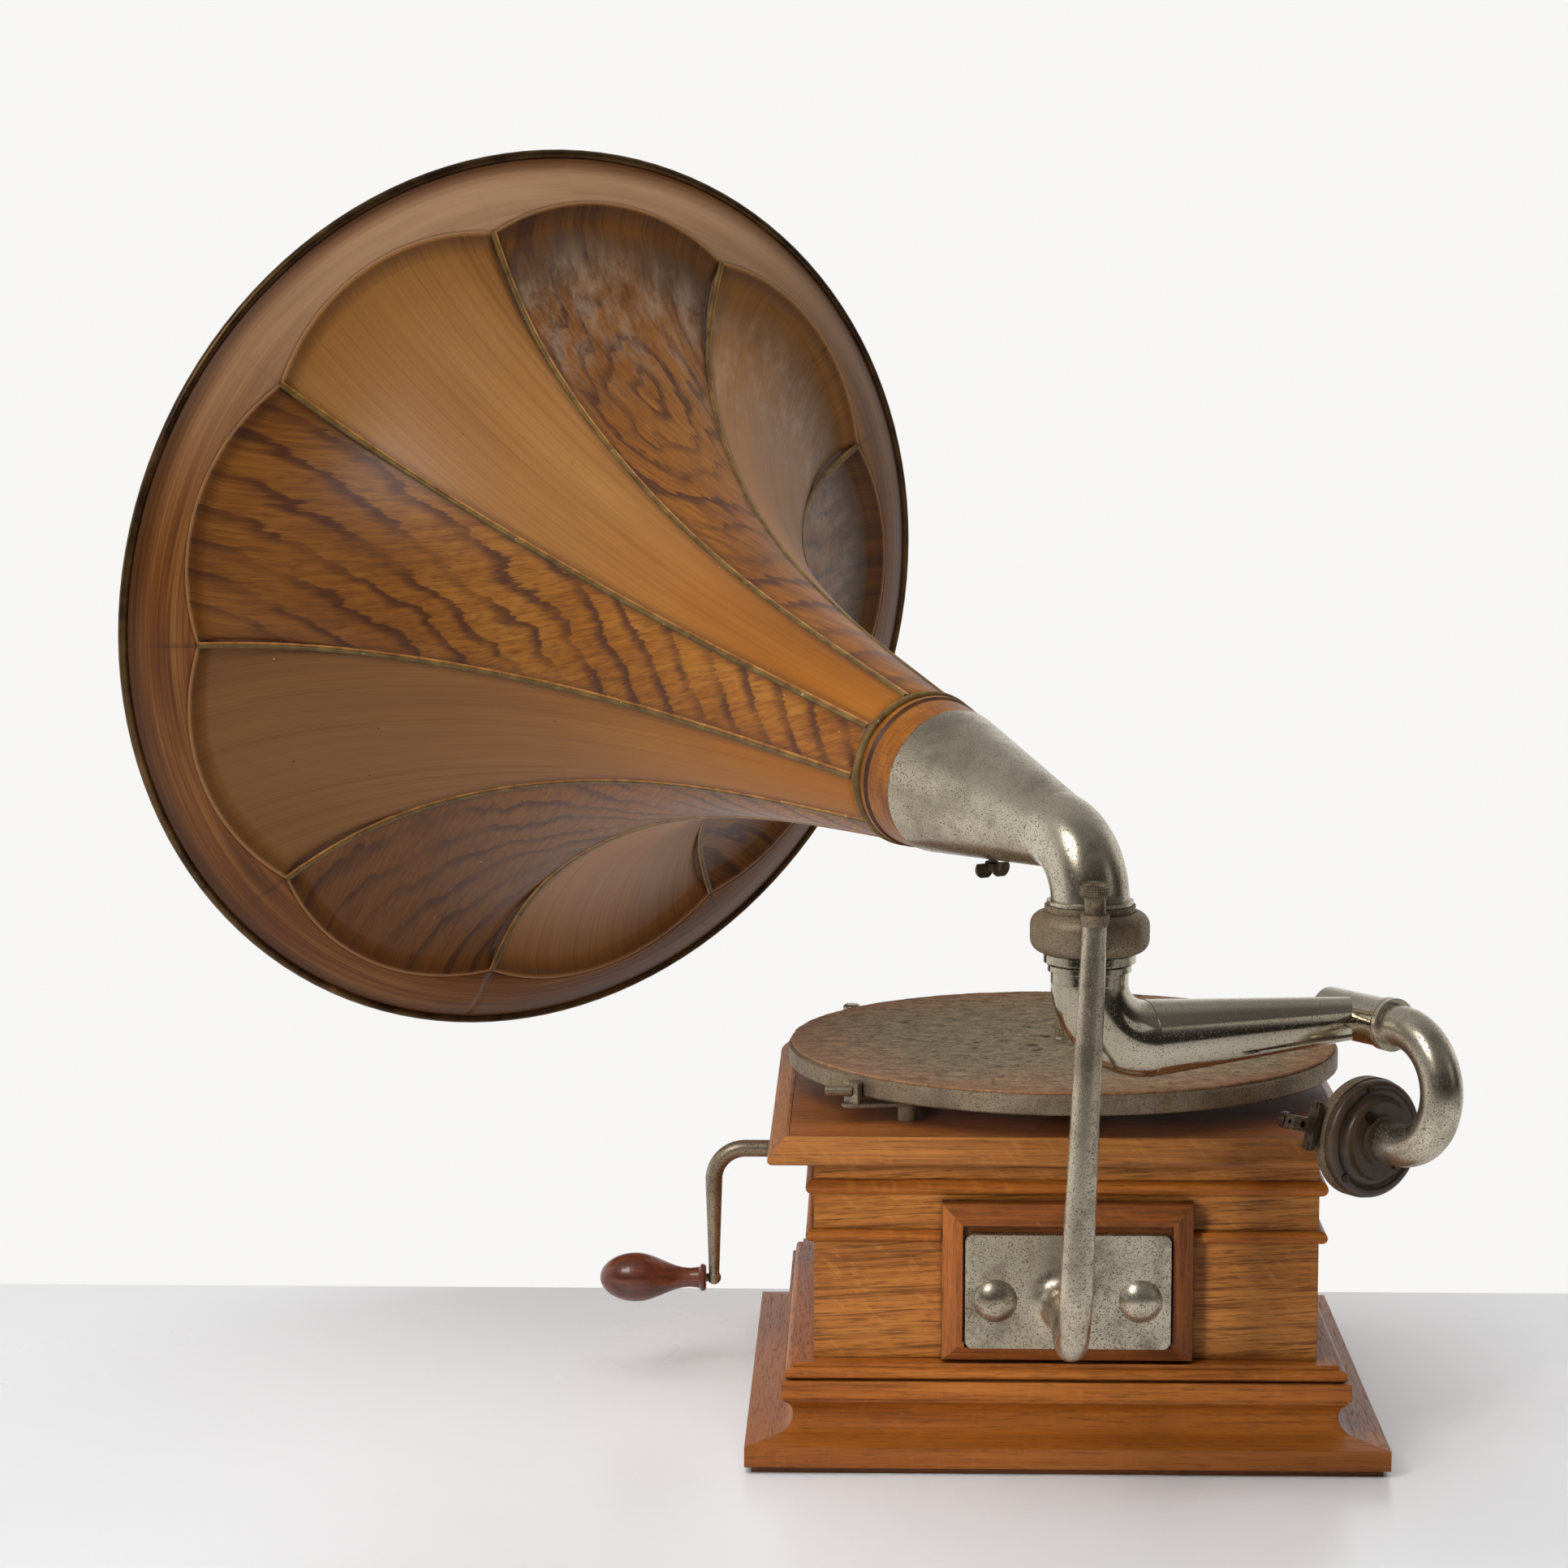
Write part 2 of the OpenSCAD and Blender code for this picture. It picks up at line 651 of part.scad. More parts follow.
// Wheel outline with involute flanks and a tooth on +X. A bevel wheel's cone leans from its
// axis: its teeth are those of the larger flat wheel that the cone's back unrolls to.
module gear_outline(teeth, mod, lean = 0, tip = 0.85, root = 1.15) {
  pitch_r = teeth * mod / 2;
  flat_r = pitch_r / cos(lean);
  base_r = flat_r * cos(20);
  tip_r = flat_r + tip * mod;
  root_r = flat_r - root * mod;
  start_r = max(base_r, root_r);
  half = 90 / teeth * cos(lean) - backlash / 2 / flat_r * 180 / PI;
  function involute(r) = let (a = acos(min(1, base_r / r))) tan(a) * 180 / PI - a;
  function flank(r) = (half + involute(flat_r) - involute(r)) / cos(lean);
  steps = 3;
  rise = [for (i = [0 : steps]) start_r + (tip_r - start_r) * i / steps];
  function at(r, a) = (pitch_r + (r - flat_r) / cos(lean)) * [cos(a), sin(a)];
  polygon([
    for (t = [0 : teeth - 1])
      let (mid = t * 360 / teeth)
        each concat(
          [at(root_r, mid - flank(start_r))],
          [for (i = [0 : steps]) at(rise[i], mid - flank(rise[i]))],
          [for (i = [steps : -1 : 0]) at(rise[i], mid + flank(rise[i]))],
          [at(root_r, mid + flank(start_r))]
        )
  ]);
}

module gear(teeth, mod, w) {
  linear_extrude(w)
    gear_outline(teeth, mod);
}

// Bevel wheel with its wide end on the ground and its cone's tip at the given height
module bevel_gear(teeth, mod, w, apex) {
  linear_extrude(w, scale = 1 - w / apex)
    gear_outline(teeth, mod, atan2(teeth * mod / 2, apex), bevel_tip, bevel_root);
}

// Places the horn's parts: local +Z runs along the horn's axis, local +X hangs down
module on_horn() {
  translate([pivot_x, pivot_y, z_elbow])
    rotate([0, 90 - horn_el, horn_az])
      children();
}

// Places the parts at the cross tube: local -Y runs out along the gooseneck
module on_tee() {
  translate([tee_x, tee_y, z_tee])
    rotate([0, 0, tee_az])
      children();
}

// Places the soundbox's parts, with its middle at the origin
module on_soundbox() {
  on_tee()
    translate([0, 0, box_z])
      rotate([0, box_turn, 0])
        children();
}

module base_board() {
  color(dark_oak)
    slab(plinth_w - 2 * base_inset, plinth_d - 2 * base_inset, base_h);
}

module plinth_profile() {
  square([plinth_frame_w, block_h]);
  polygon([[0, block_h], [shelf_d, block_h + shelf_rise], [plinth_frame_w, block_h + shelf_rise],
    [plinth_frame_w, block_h]]);
  difference() {
    translate([shelf_d, block_h + shelf_rise])
      square([plinth_frame_w - shelf_d, 2 * scotia_r - listel_dip]);
    translate([shelf_d, scotia_y])
      circle(scotia_r);
  }
  translate([band_inset + 1.2, listel_y])
    square([plinth_frame_w - band_inset - 1.2, listel_h]);
  translate([band_inset, band_y])
    square([plinth_frame_w - band_inset, band_h]);
  translate([band_inset + 1.6 + plinth_bead_r, plinth_bead_y + plinth_bead_r])
    circle(plinth_bead_r);
  translate([band_inset + 1.6 + plinth_bead_r, plinth_bead_y])
    square([plinth_frame_w - band_inset - 1.6 - plinth_bead_r, 2 * plinth_bead_r]);
  translate([plinth_top_inset, plinth_top_y])
    square([plinth_frame_w - plinth_top_inset, plinth_top_h]);
}

module plinth() {
  color(oak)
    translate([0, 0, base_h])
      moulding(plinth_w, plinth_d, plinth_frame_w, plinth_h)
        plinth_profile();
}

// Holes for the bracket's bolts, along Y
module bolt_holes(r) {
  for (side = [-1, 1])
    translate([plate_x + side * bolt_span / 2, y_back, z_plate - bolt_drop])
      rotate([90, 0, 0])
        cylinder(h = 80, r = r, center = true);
}

module back_panel() {
  color(oak)
    difference() {
      translate([0, y_back + wall / 2, z_body])
        slab(body_w, wall, body_h);
      bolt_holes(bolt_r + pass);
    }
}

module front_panel() {
  color(oak)
    difference() {
      translate([0, body_d / 2 - wall / 2, z_body])
        slab(body_w, wall, body_h);
      regulator_hole();
    }
}

module side_panel(side) {
  translate([side * (body_w - wall) / 2, 0, z_body])
    slab(wall, body_d - 2 * wall, body_h);
}

module left_panel() {
  color(oak)
    difference() {
      side_panel(-1);
      translate([-body_w / 2 - 1, crank_y, z_crank])
        rotate([0, 90, 0])
          cylinder(h = wall + 2, r = crank_r + fit + 2);
      regulator_hole();
    }
}

module right_panel() {
  color(oak)
    side_panel(1);
}

module bead_profile(r) {
  intersection() {
    union() {
      translate([r, r])
        circle(r);
      translate([r, 0])
        square([bead_out, 2 * r]);
    }
    square([bead_out, 2 * r]);
  }
}

module case_bead(r, z) {
  translate([0, 0, z_body + z])
    moulding(body_w + 2 * bead_out, body_d + 2 * bead_out, bead_out, 2 * r)
      bead_profile(r);
}

// The two half-round beads round the case; the bracket's backing interrupts the lower one
module case_beads() {
  color(oak)
    case_bead(upper_bead_r, upper_bead_z);
  color(oak)
    difference() {
      case_bead(lower_bead_r, lower_bead_z);
      translate([plate_x, y_back - bead_out, backing_z - backing_h / 2])
        slab(backing_w + 2 * pass, 3 * bead_out, backing_h);
    }
}

module cap_profile() {
  difference() {
    union() {
      translate([cap_edge_r, cap_edge_r])
        circle(cap_edge_r);
      translate([cap_edge_r, 0])
        square([cap_frame_w - cap_edge_r, 2 * cap_edge_r]);
      polygon([[cap_edge_r, 0], [1, 1.7 * cap_edge_r], [1, 1.9 * cap_edge_r],
        [cap_slope_w - 1.5, cap_h], [cap_frame_w, cap_h], [cap_frame_w, 0]]);
    }
    translate([cap_slope_w, cap_h - board_t])
      square([cap_frame_w, board_t + 1]);
  }
}

module cap_frame() {
  color(oak)
    difference() {
      translate([0, 0, z_cap])
        moulding(cap_w, cap_d, cap_frame_w, cap_h)
          cap_profile();
      regulator_hole();
    }
}

// Hole for the regulator's stem in whatever it passes through
module regulator_hole() {
  translate([regulator_x, regulator_y, z_top - board_t - regulator_tail - 1])
    cylinder(h = board_t + regulator_tail + 2, r = regulator_stem_r + fit);
}

module motor_board() {
  color(dark_oak)
    difference() {
      translate([0, 0, z_top - board_t])
        slab(board_w - 2 * board_gap, board_d - 2 * board_gap, board_t);
      translate([spindle_x, 0, z_top - board_t - 1])
        cylinder(h = board_t + 2, r = spindle_r + 4);
      regulator_hole();
      for (p = screw_places)
        translate([p[0], p[1], z_top - board_t - 1])
          cylinder(h = board_t + 2, r = screw_r + pass);
    }
}

module backing_profile() {
  polygon([[0, 0], [0, backing_t - 4], [1.5, backing_t - 3], [backing_border - 2, backing_t],
    [backing_border, backing_t], [backing_border + 1, 0]]);
}

module bracket_backing() {
  color(dark_oak)
    difference() {
      translate([plate_x, y_back, backing_z])
        rotate([90, 0, 0]) {
          moulding(backing_w, backing_h, backing_border + 1, backing_t)
            backing_profile();
          slab(backing_w - 2 * backing_border, backing_h - 2 * backing_border, backing_t - backing_sink);
        }
      translate([plate_x, y_plate, z_plate])
        rotate([90, 0, 0])
          slab(plate_w + 2 * pass, plate_h + 2 * pass, backing_sink + 1);
      bolt_holes(bolt_r + pass);
    }
}

module plate_outline() {
  square([plate_w - 2 * plate_r, plate_h], center = true);
  square([plate_w, plate_h - 2 * plate_r], center = true);
  for (x = [-1, 1], y = [-1, 1])
    translate([x * (plate_w / 2 - plate_r), y * (plate_h / 2 - plate_r)])
      circle(plate_r);
}

// Trumpet-shaped root of the arm, standing on the plate
module arm_root() {
  sweep_r = arm_root_r - arm_r;
  rotate_extrude()
    difference() {
      square([arm_root_r, sweep_r]);
      translate([arm_root_r, sweep_r])
        circle(sweep_r);
    }
}

module bracket_arm() {
  color(nickel)
    difference() {
      union() {
        translate([plate_x, y_plate, z_plate])
          rotate([90, 0, 0])
            linear_extrude(plate_t)
              plate_outline();
        translate([root_x, y_plate, z_root])
          rotate([0, arm_lean, 0]) {
            rotate([90, 0, 0]) {
              translate([0, 0, plate_t])
                arm_root();
              cylinder(h = y_plate - arm_y - arm_bend + join, r = arm_r);
            }
            translate([0, arm_y + arm_bend - y_plate, arm_bend])
              rotate([0, 90, 0])
                rotate([0, 0, -90])
                  rotate_extrude(angle = 90)
                    translate([arm_bend, 0])
                      circle(arm_r - hair);
            translate([0, arm_y - y_plate, arm_bend - join])
              cylinder(h = arm_rise + join, r1 = arm_r, r2 = arm_top_r);
          }
      }
      bolt_holes(bolt_r + pass);
      translate([pivot_x, pivot_y, z_collar])
        cylinder(h = collar_h + 1, r = collar_r);
      translate([arm_x, arm_y, z_keeper - 14])
        cylinder(h = 30, r = thumb_shank_r + fit);
      translate([arm_x, arm_y, z_keeper - lug_boss_h])
        cylinder(h = 10, r = 3 * arm_r);
    }
}

// Body of the collar with rounded edges, without its bore
module collar_solid() {
  rotate_extrude() {
    square([collar_r - collar_edge_r, collar_h]);
    translate([0, collar_edge_r])
      square([collar_r, collar_h - 2 * collar_edge_r]);
    for (z = [collar_edge_r, collar_h - collar_edge_r])
      translate([collar_r - collar_edge_r, z])
        circle(collar_edge_r);
  }
}

module bracket_collar() {
  color(rusty_nickel)
    translate([pivot_x, pivot_y, z_collar])
      difference() {
        collar_solid();
        translate([0, 0, -1])
          cylinder(h = collar_h, r = spigot_bore_r);
        translate([0, 0, shoulder_h])
          cylinder(h = collar_h, r = elbow_bore_r);
        translate([arm_side, -arm_reach, -1])
          cylinder(h = collar_h + 2, r = thumb_shank_r + fit);
      }
}

module bracket_bolts() {
  dome_r = (bolt_head_r * bolt_head_r + bolt_head_h * bolt_head_h) / (2 * bolt_head_h);
  color(nickel)
    for (side = [-1, 1])
      translate([plate_x + side * bolt_span / 2, y_plate - plate_t, z_plate - bolt_drop])
        rotate([90, 0, 0]) {
          intersection() {
            translate([0, 0, bolt_head_h - dome_r])
              sphere(dome_r);
            cylinder(h = 2 * bolt_head_h, r = bolt_head_r);
          }
          mirror([0, 0, 1]) {
            cylinder(h = plate_t + backing_t - backing_sink + wall + 6, r = bolt_r);
            translate([0, 0, plate_t + backing_t - backing_sink + wall])
              cylinder(h = 4, r = 2 * bolt_r, $fn = 6);
          }
        }
}

module keeper_plate() {
  color(rusty_nickel)
    difference() {
      union() {
        translate([pivot_x, pivot_y, z_keeper])
          linear_extrude(keeper_t) {
            circle(keeper_r);
            translate([arm_side, -arm_reach])
              circle(lug_r);
            translate([arm_side - lug_r + 1, -arm_reach])
              square([2 * lug_r - 2, arm_reach]);
          }
        translate([arm_x, arm_y, z_keeper - lug_boss_h])
          cylinder(h = lug_boss_h + join, r = lug_r - 0.4);
      }
      translate([pivot_x, pivot_y, z_keeper - lug_boss_h - 1])
        cylinder(h = keeper_t + lug_boss_h + 2, r = elbow_r + pass);
      translate([arm_x, arm_y, z_keeper - lug_boss_h - 1])
        cylinder(h = keeper_t + lug_boss_h + 2, r = thumb_shank_r + fit);
      translate([pivot_x, pivot_y, z_collar])
        collar_solid();
    }
}

module thumbscrew() {
  head_z = z_keeper + keeper_t + pass / 2 + thumb_neck_h;
  color(rusty_nickel)
    difference() {
      translate([arm_x, arm_y, 0]) {
        translate([0, 0, z_keeper - 12])
          cylinder(h = keeper_t + 14, r = thumb_shank_r);
        translate([0, 0, z_keeper + keeper_t + pass / 2])
          cylinder(h = thumb_neck_h, r = thumb_neck_r);
        translate([0, 0, head_z]) {
          cylinder(h = 0.8, r1 = thumb_r - 0.8, r2 = thumb_r);
          translate([0, 0, 0.8])
            cylinder(h = thumb_h - 2, r = thumb_r);
          translate([0, 0, thumb_h - 1.2])
            cylinder(h = 1.2, r1 = thumb_r, r2 = thumb_r - 1.4);
        }
      }
      translate([arm_x, arm_y, head_z + thumb_h - 1.5])
        slab(2 * thumb_r, 1.4, 3);
    }
}

// Inside or outside of the elbow: upright tube, bend and widening cone, drawn in by an inset
module elbow_space(inset) {
  foot_z = z_shoulder + retainer_t + 0.8 - inset;
  start_s = elbow_tangent - join;
  end_s = elbow_len + inset;
  translate([pivot_x, pivot_y, 0])
    rotate([0, 0, horn_az]) {
      translate([0, 0, foot_z])
        cylinder(h = z_elbow - elbow_tangent - foot_z + join, r = elbow_r - inset);
      translate([elbow_bend, 0, z_elbow - elbow_tangent])
        rotate([90, 0, 180])
          rotate_extrude(angle = 90 - horn_el)
            translate([elbow_bend, 0])
              circle(elbow_r - inset - hair);
    }
  on_horn()
    translate([0, 0, start_s])
      cylinder(h = end_s - start_s, r1 = elbow_cone_r(start_s) - inset, r2 = elbow_cone_r(end_s) - inset);
}

module horn_elbow() {
  color(nickel)
    difference() {
      union() {
        elbow_space(0);
        translate([pivot_x, pivot_y, z_keeper + keeper_t + pass / 2])
          cylinder(h = 1.8, r = elbow_r + 1.6);
      }
      elbow_space(tube_t);
      wing_axis()
        cylinder(h = 2 * elbow_end_r, r = wing_screw_r + fit);
    }
}

// Axis of the wing screw, pointing out of the underside of the elbow
module wing_axis() {
  on_horn()
    translate([0, 0, wing_s])
      rotate([0, 90, 0])
        children();
}

module wing_screw() {
  wing_z = elbow_cone_r(wing_s) + 1.5;
  color(rusty_nickel)
    wing_axis() {
      translate([0, 0, wing_z - 4])
        cylinder(h = 5, r = wing_screw_r);
      translate([0, 0, wing_z])
        cylinder(h = 3, r = 3.4);
      for (side = [-1, 1])
        translate([0, side * wing_w / 4, wing_z + 2.6])
          rotate([90, 0, 90])
            intersection() {
              cylinder(h = 1.6, r = wing_w / 4, center = true);
              translate([-wing_w / 2, -2.2, -2])
                cube([wing_w, 6, 4]);
            }
    }
}

// Ferrule that carries the horn, with its tail inside the elbow
module horn_ferrule() {
  gap = 0.1;
  tail_r = elbow_cone_r(ferrule_tail) - tube_t - gap;
  end_r = elbow_cone_r(elbow_len) - tube_t - gap;
  ring_s = throat_s - throat_bead_r - 0.2;
  color(tin_plain)
    on_horn()
      rotate_extrude()
        polygon([
          [tail_r - tube_t, ferrule_tail], [tail_r, ferrule_tail], [end_r, elbow_len],
          [elbow_end_r, elbow_len + 0.2], [throat_r + 0.2, ring_s - 6], [throat_r + 1.2, ring_s - 4.6],
          [throat_r + 1.2, ring_s - 2.4], [throat_r + 0.2, ring_s - 1], [throat_r + 0.2, petal_start],
          [throat_r - tube_t, petal_start], [end_r - tube_t, elbow_len]
        ]);
}

module throat_ring() {
  color(brass)
    on_horn()
      rotate_extrude()
        translate([throat_r + 0.3, throat_s])
          intersection() {
            circle(throat_bead_r);
            translate([0, -throat_bead_r])
              square([throat_bead_r, 2 * throat_bead_r]);
          }
}

// Prism along the horn's axis whose round edge arches over one petal
module petal_arch(number, gap) {
  turn = seam_turn + petal_sweep * (number - 0.5);
  translate([arch_d * cos(turn), arch_d * sin(turn), 0])
    cylinder(h = 2 * rim_s, r = arch_r - arch_d - gap, $fn = 96);
}

// Profile of a sheet under the given outside line
module sheet_profile(line) {
  back = [for (i = [len(line) - 1 : -1 : 0]) line[i] - [horn_t, 0]];
  polygon(concat(line, back));
}

// Sheet of one petal between two seams, with an arched end
module horn_petal(number) {
  line = concat([for (i = [0 : petal_steps]) [horn_r(petal_s(i)), petal_s(i)]],
    [for (i = [1 : arch_steps]) rim_point(i)]);
  color(len(search(number, figured_petals)) > 0 ? tin_figured : tin_plain)
    on_horn()
      intersection() {
        rotate([0, 0, seam_turn + petal_sweep * (number - 1)])
          rotate_extrude(angle = petal_sweep)
            sheet_profile(line);
        petal_arch(number, arch_gap);
      }
}

module horn_ribs() {
  top = [for (i = [1 : petal_steps]) [horn_r(petal_s(i)) + rib_h, petal_s(i)]];
  foot = [for (i = [petal_steps : -1 : 1]) [horn_r(petal_s(i)), petal_s(i)]];
  color(brass)
    on_horn()
      for (k = [0 : petals - 1])
        rotate([0, 0, seam_turn + petal_sweep * k])
          rotate([90, 0, 0])
            linear_extrude(rib_w, center = true)
              polygon(concat(top, foot));
}

// Rim outside the petals' arches, up to the rolled wire
module horn_rim_band() {
  end = rim_point(rim_steps);
  last = rim_point(rim_steps - 1);
  lap = rim_wire_r / norm(end - last);
  line = concat([for (i = [0 : rim_steps - 1]) rim_point(i)], [end + (last - end) * lap]);
  color(tin_plain)
    on_horn()
      difference() {
        rotate_extrude()
          sheet_profile(line);
        for (number = [1 : petals])
          petal_arch(number, -arch_gap);
      }
}

module horn_rim_wire() {
  color(brass)
    on_horn()
      rotate_extrude()
        translate([rim_r, rim_s])
          circle(rim_wire_r);
}

// Outer form of the tone arm's neck, bend and tapered arm, drawn in by an inset
module tone_space(inset) {
  translate([0, 0, tone_bend - join])
    cylinder(h = arm_drop - tone_bend + join - collar_gap + (inset > 0 ? 1 : 0), r = tone_r - inset);
  translate([tone_bend, 0, tone_bend]) {
    rotate([90, 0, 0])
      rotate([0, 0, 180])
        rotate_extrude(angle = 90 + tone_tilt)
          translate([tone_bend, 0])
            circle(tone_r - inset - 3 * hair);
    rotate([0, -tone_tilt, 0])
      translate([-join, 0, -tone_bend])
        rotate([0, 90, 0])
          cylinder(
            h = tone_run / cos(tone_tilt) + join,
            r1 = tone_r - inset + join * tone_taper,
            r2 = tone_end_r - inset
          );
  }
}

module tone_arm() {
  top = arm_drop - collar_gap;
  color(nickel)
    difference() {
      union() {
        translate([pivot_x, pivot_y, z_tone])
          rotate([0, 0, tone_az]) {
            tone_space(0);
            translate([0, 0, top - 3.6])
              cylinder(h = 3.6, r = tone_r + 3);
            translate([0, 0, top - 7.4])
              cylinder(h = 2.6, r = tone_r + 1.2);
            translate([0, 0, tone_bend])
              cylinder(h = z_shoulder + retainer_t + pass / 2 - z_tone - tone_bend, r = spigot_r);
          }
        on_tee() {
          along_tee(-tee_half, tee_half, tee_r);
          along_tee(tee_half - neck_bead_w, tee_half, neck_bead_r);
        }
      }
      translate([pivot_x, pivot_y, z_tone])
        rotate([0, 0, tone_az]) {
          tone_space(tube_t + 1.5);
          translate([0, 0, tone_bend])
            cylinder(h = 60, r = spigot_r - tube_t - 0.3);
        }
      on_tee()
        along_tee(-tee_half + 4, tee_half + 1, neck_bore_r);
    }
}

module tone_arm_retainer() {
  color(steel)
    translate([pivot_x, pivot_y, z_shoulder + pass / 2])
      difference() {
        cylinder(h = retainer_t, r = elbow_r - pass);
        translate([0, 0, -1])
          cylinder(h = retainer_t + 2, r = spigot_r);
      }
}

module gooseneck() {
  color(nickel)
    on_tee()
      difference() {
        union() {
          along_tee(-tee_half + 6, tee_half + 3, neck_spigot_r);
          along_tee(tee_half + pass, tee_half + pass + neck_bead_w, neck_bead_r);
          along_tee(tee_half + pass, neck_out, neck_r);
          translate([0, -neck_out, -neck_bend])
            rotate([0, 90, 0])
              rotate([0, 0, 180])
                rotate_extrude(angle = 180)
                  translate([neck_bend, 0])
                    circle(neck_r);
          translate([0, 0, box_z])
            along_tee(step_back - 1 + pass, neck_out, neck_r);
        }
        along_tee(-tee_half + 5, neck_out, neck_tube_r);
        translate([0, -neck_out, -neck_bend])
          rotate([0, 90, 0])
            rotate([0, 0, 180])
              rotate_extrude(angle = 180)
                translate([neck_bend, 0])
                  circle(neck_tube_r);
        translate([0, 0, box_z])
          along_tee(step_back - 2, neck_out, neck_tube_r);
      }
}

module soundbox_ring() {
  color(brass)
    on_soundbox()
      difference() {
        union() {
          along_tee(box_face + 0.8, ring_back, box_r);
          translate([0, -box_face, 0])
            rotate([90, 0, 0])
              cylinder(h = 0.8, r1 = box_r - 0.8, r2 = box_r);
        }
        along_tee(box_face - 1, ring_back + 1, box_open_r);
        along_tee(gasket_front, ring_back + 1, mica_r + 0.1);
      }
}

module soundbox_back() {
  edge_r = box_back_t / 2;
  cove_r = 3;
  cove_sink = 1.4;
  color(rubber)
    on_soundbox()
      difference() {
        translate([0, -ring_back, 0])
          rotate([90, 0, 0])
            rotate_extrude()
              difference() {
                union() {
                  square([box_back_r - edge_r, box_back_t]);
                  square([box_back_r, box_back_t / 2]);
                  translate([box_back_r - edge_r, box_back_t / 2])
                    circle(edge_r);
                  square([box_step_r, box_back_t + box_step_h]);
                  square([box_step_r + cove_r, box_back_t + cove_r - cove_sink]);
                  square([box_socket_r, box_back_t + box_step_h + box_socket_h]);
                }
                translate([box_step_r + cove_r, box_back_t + cove_r - cove_sink])
                  circle(cove_r);
              }
        along_tee(ring_back - 1, socket_back + 1, neck_tube_r - 1);
        along_tee(step_back - 1, socket_back + 1, neck_r + fit);
      }
}

module diaphragm() {
  color("#d8cfae")
    on_soundbox()
      along_tee(mica_front, mica_front + mica_t, mica_r);
}

module soundbox_gaskets() {
  color(rubber)
    on_soundbox()
      for (front = [gasket_front, mica_front + mica_t])
        difference() {
          along_tee(front, front + gasket_t, mica_r);
          along_tee(front - 1, front + gasket_t + 1, box_open_r - 0.5);
        }
}

module soundbox_screws() {
  flange_screw_r = box_back_r - 2.6;
  color(brass)
    on_soundbox() {
      for (turn = [5, 125, 245])
        rotate([0, turn, 0])
          translate([flange_screw_r, 0, 0])
            along_tee(flange_back, flange_back + 0.9, 1.9);
      for (turn = [40, 220])
        rotate([0, turn, 0])
          translate([(box_step_r + box_socket_r) / 2, 0, 0])
            along_tee(step_back, step_back + 1.2, 2.3);
    }
}

module needle_bar() {
  bar_y = box_face - pass - bar_t;
  color(rusty_nickel)
    on_soundbox()
      difference() {
        union() {
          // Strip in front of the diaphragm
          translate([bar_pivot_x / 2, -bar_y - bar_t / 2, 0])
            translate([0, 0, -1])
              slab(-bar_pivot_x, bar_t, 2);
          // Foot on the diaphragm
          along_tee(bar_y, mica_front - 0.15, 1.2);
          // Cross bar on the soundbox's edge, rocking on the round pivots at its ends
          translate([bar_pivot_x - 1.5, -bar_y - 2.8, -10])
            slab(2.4, 5.6, 20);
          for (end = [-1, 1])
            translate([bar_pivot_x - 1.5, -bar_y - 2.8, end * 9 - 1.5])
              cylinder(h = 3, r = 2.1);
          // Needle holder
          translate([(bar_pivot_x + holder_x) / 2, -bar_y - 2.8, -holder_w / 2])
            slab(holder_len, holder_w, holder_w);
        }
        translate([holder_x - 1, -bar_y - 2.8, 0])
          rotate([0, 90, 0])
            cylinder(h = holder_len - 3, r = 0.9);
        translate([screw_place, 10, 0])
          along_tee(-10, bar_y + 22, 1.3 + fit);
      }
}

module needle_screw() {
  bar_y = box_face - pass - bar_t;
  holder_front = bar_y + 2.8 - holder_w / 2;
  color(rusty_nickel)
    on_soundbox()
      translate([screw_place, 0, 0]) {
        along_tee(holder_front - 4, holder_front + 1.9, 1.3);
        along_tee(holder_front - 2.5, holder_front - pass, 2.2);
        along_tee(holder_front - 6.5, holder_front - 2.5, knob_r);
      }
}

module platter() {
  color(rusty_nickel)
    translate([spindle_x, 0, z_rim])
      rotate_extrude($fn = 128)
        polygon([
          [spindle_r, platter_h], [spindle_r, -2], [hub_r - 4, -2], [hub_r, platter_h - platter_t - 2],
          [hub_r + 4, platter_h - platter_t], [platter_r - 3, platter_h - platter_t], [platter_r - 3, 0.8],
          [platter_r - 2.2, 0], [platter_r - 0.8, 0], [platter_r, 0.8], [platter_r, platter_h - 1],
          [platter_r - 1, platter_h]
        ]);
}

module felt() {
  color("#7d5a3c")
    translate([spindle_x, 0, z_platter])
      difference() {
        cylinder(h = felt_t, r = platter_r - felt_inset, $fn = 128);
        translate([0, 0, -1])
          cylinder(h = felt_t + 2, r = spindle_r + 0.4);
      }
}

module spindle() {
  pinion_z = train_z - 1;
  color(steel)
    translate([spindle_x, 0, 0]) {
      translate([0, 0, z_motor_base - motor_plate_t + 1 + pass])
        cylinder(h = z_felt - z_motor_base + motor_plate_t - 1 - pass, r = spindle_r);
      translate([0, 0, z_felt])
        cylinder(h = pin_fillet, r1 = spindle_r, r2 = record_pin_r);
      translate([0, 0, z_felt + pin_fillet])
        cylinder(h = record_pin_h - pin_fillet - 1.2, r = record_pin_r);
      translate([0, 0, z_felt + record_pin_h - 1.2])
        cylinder(h = 1.2, r1 = record_pin_r, r2 = record_pin_r - 1);
      translate([0, 0, pinion_z])
        rotate([0, 0, inter_to_spindle + 180 - 180 / spindle_teeth])
          gear(spindle_teeth, train_mod, train_w + 2);
      translate([0, 0, governor_wheel_z])
        gear(governor_wheel_teeth, governor_mod, governor_wheel_w);
    }
}

// Places the brake's tab: local +X points away from the spindle, the platter's edge at its radius
module on_brake_tab() {
  translate([spindle_x, 0, brake_z])
    rotate([0, 0, brake_az])
      children();
}

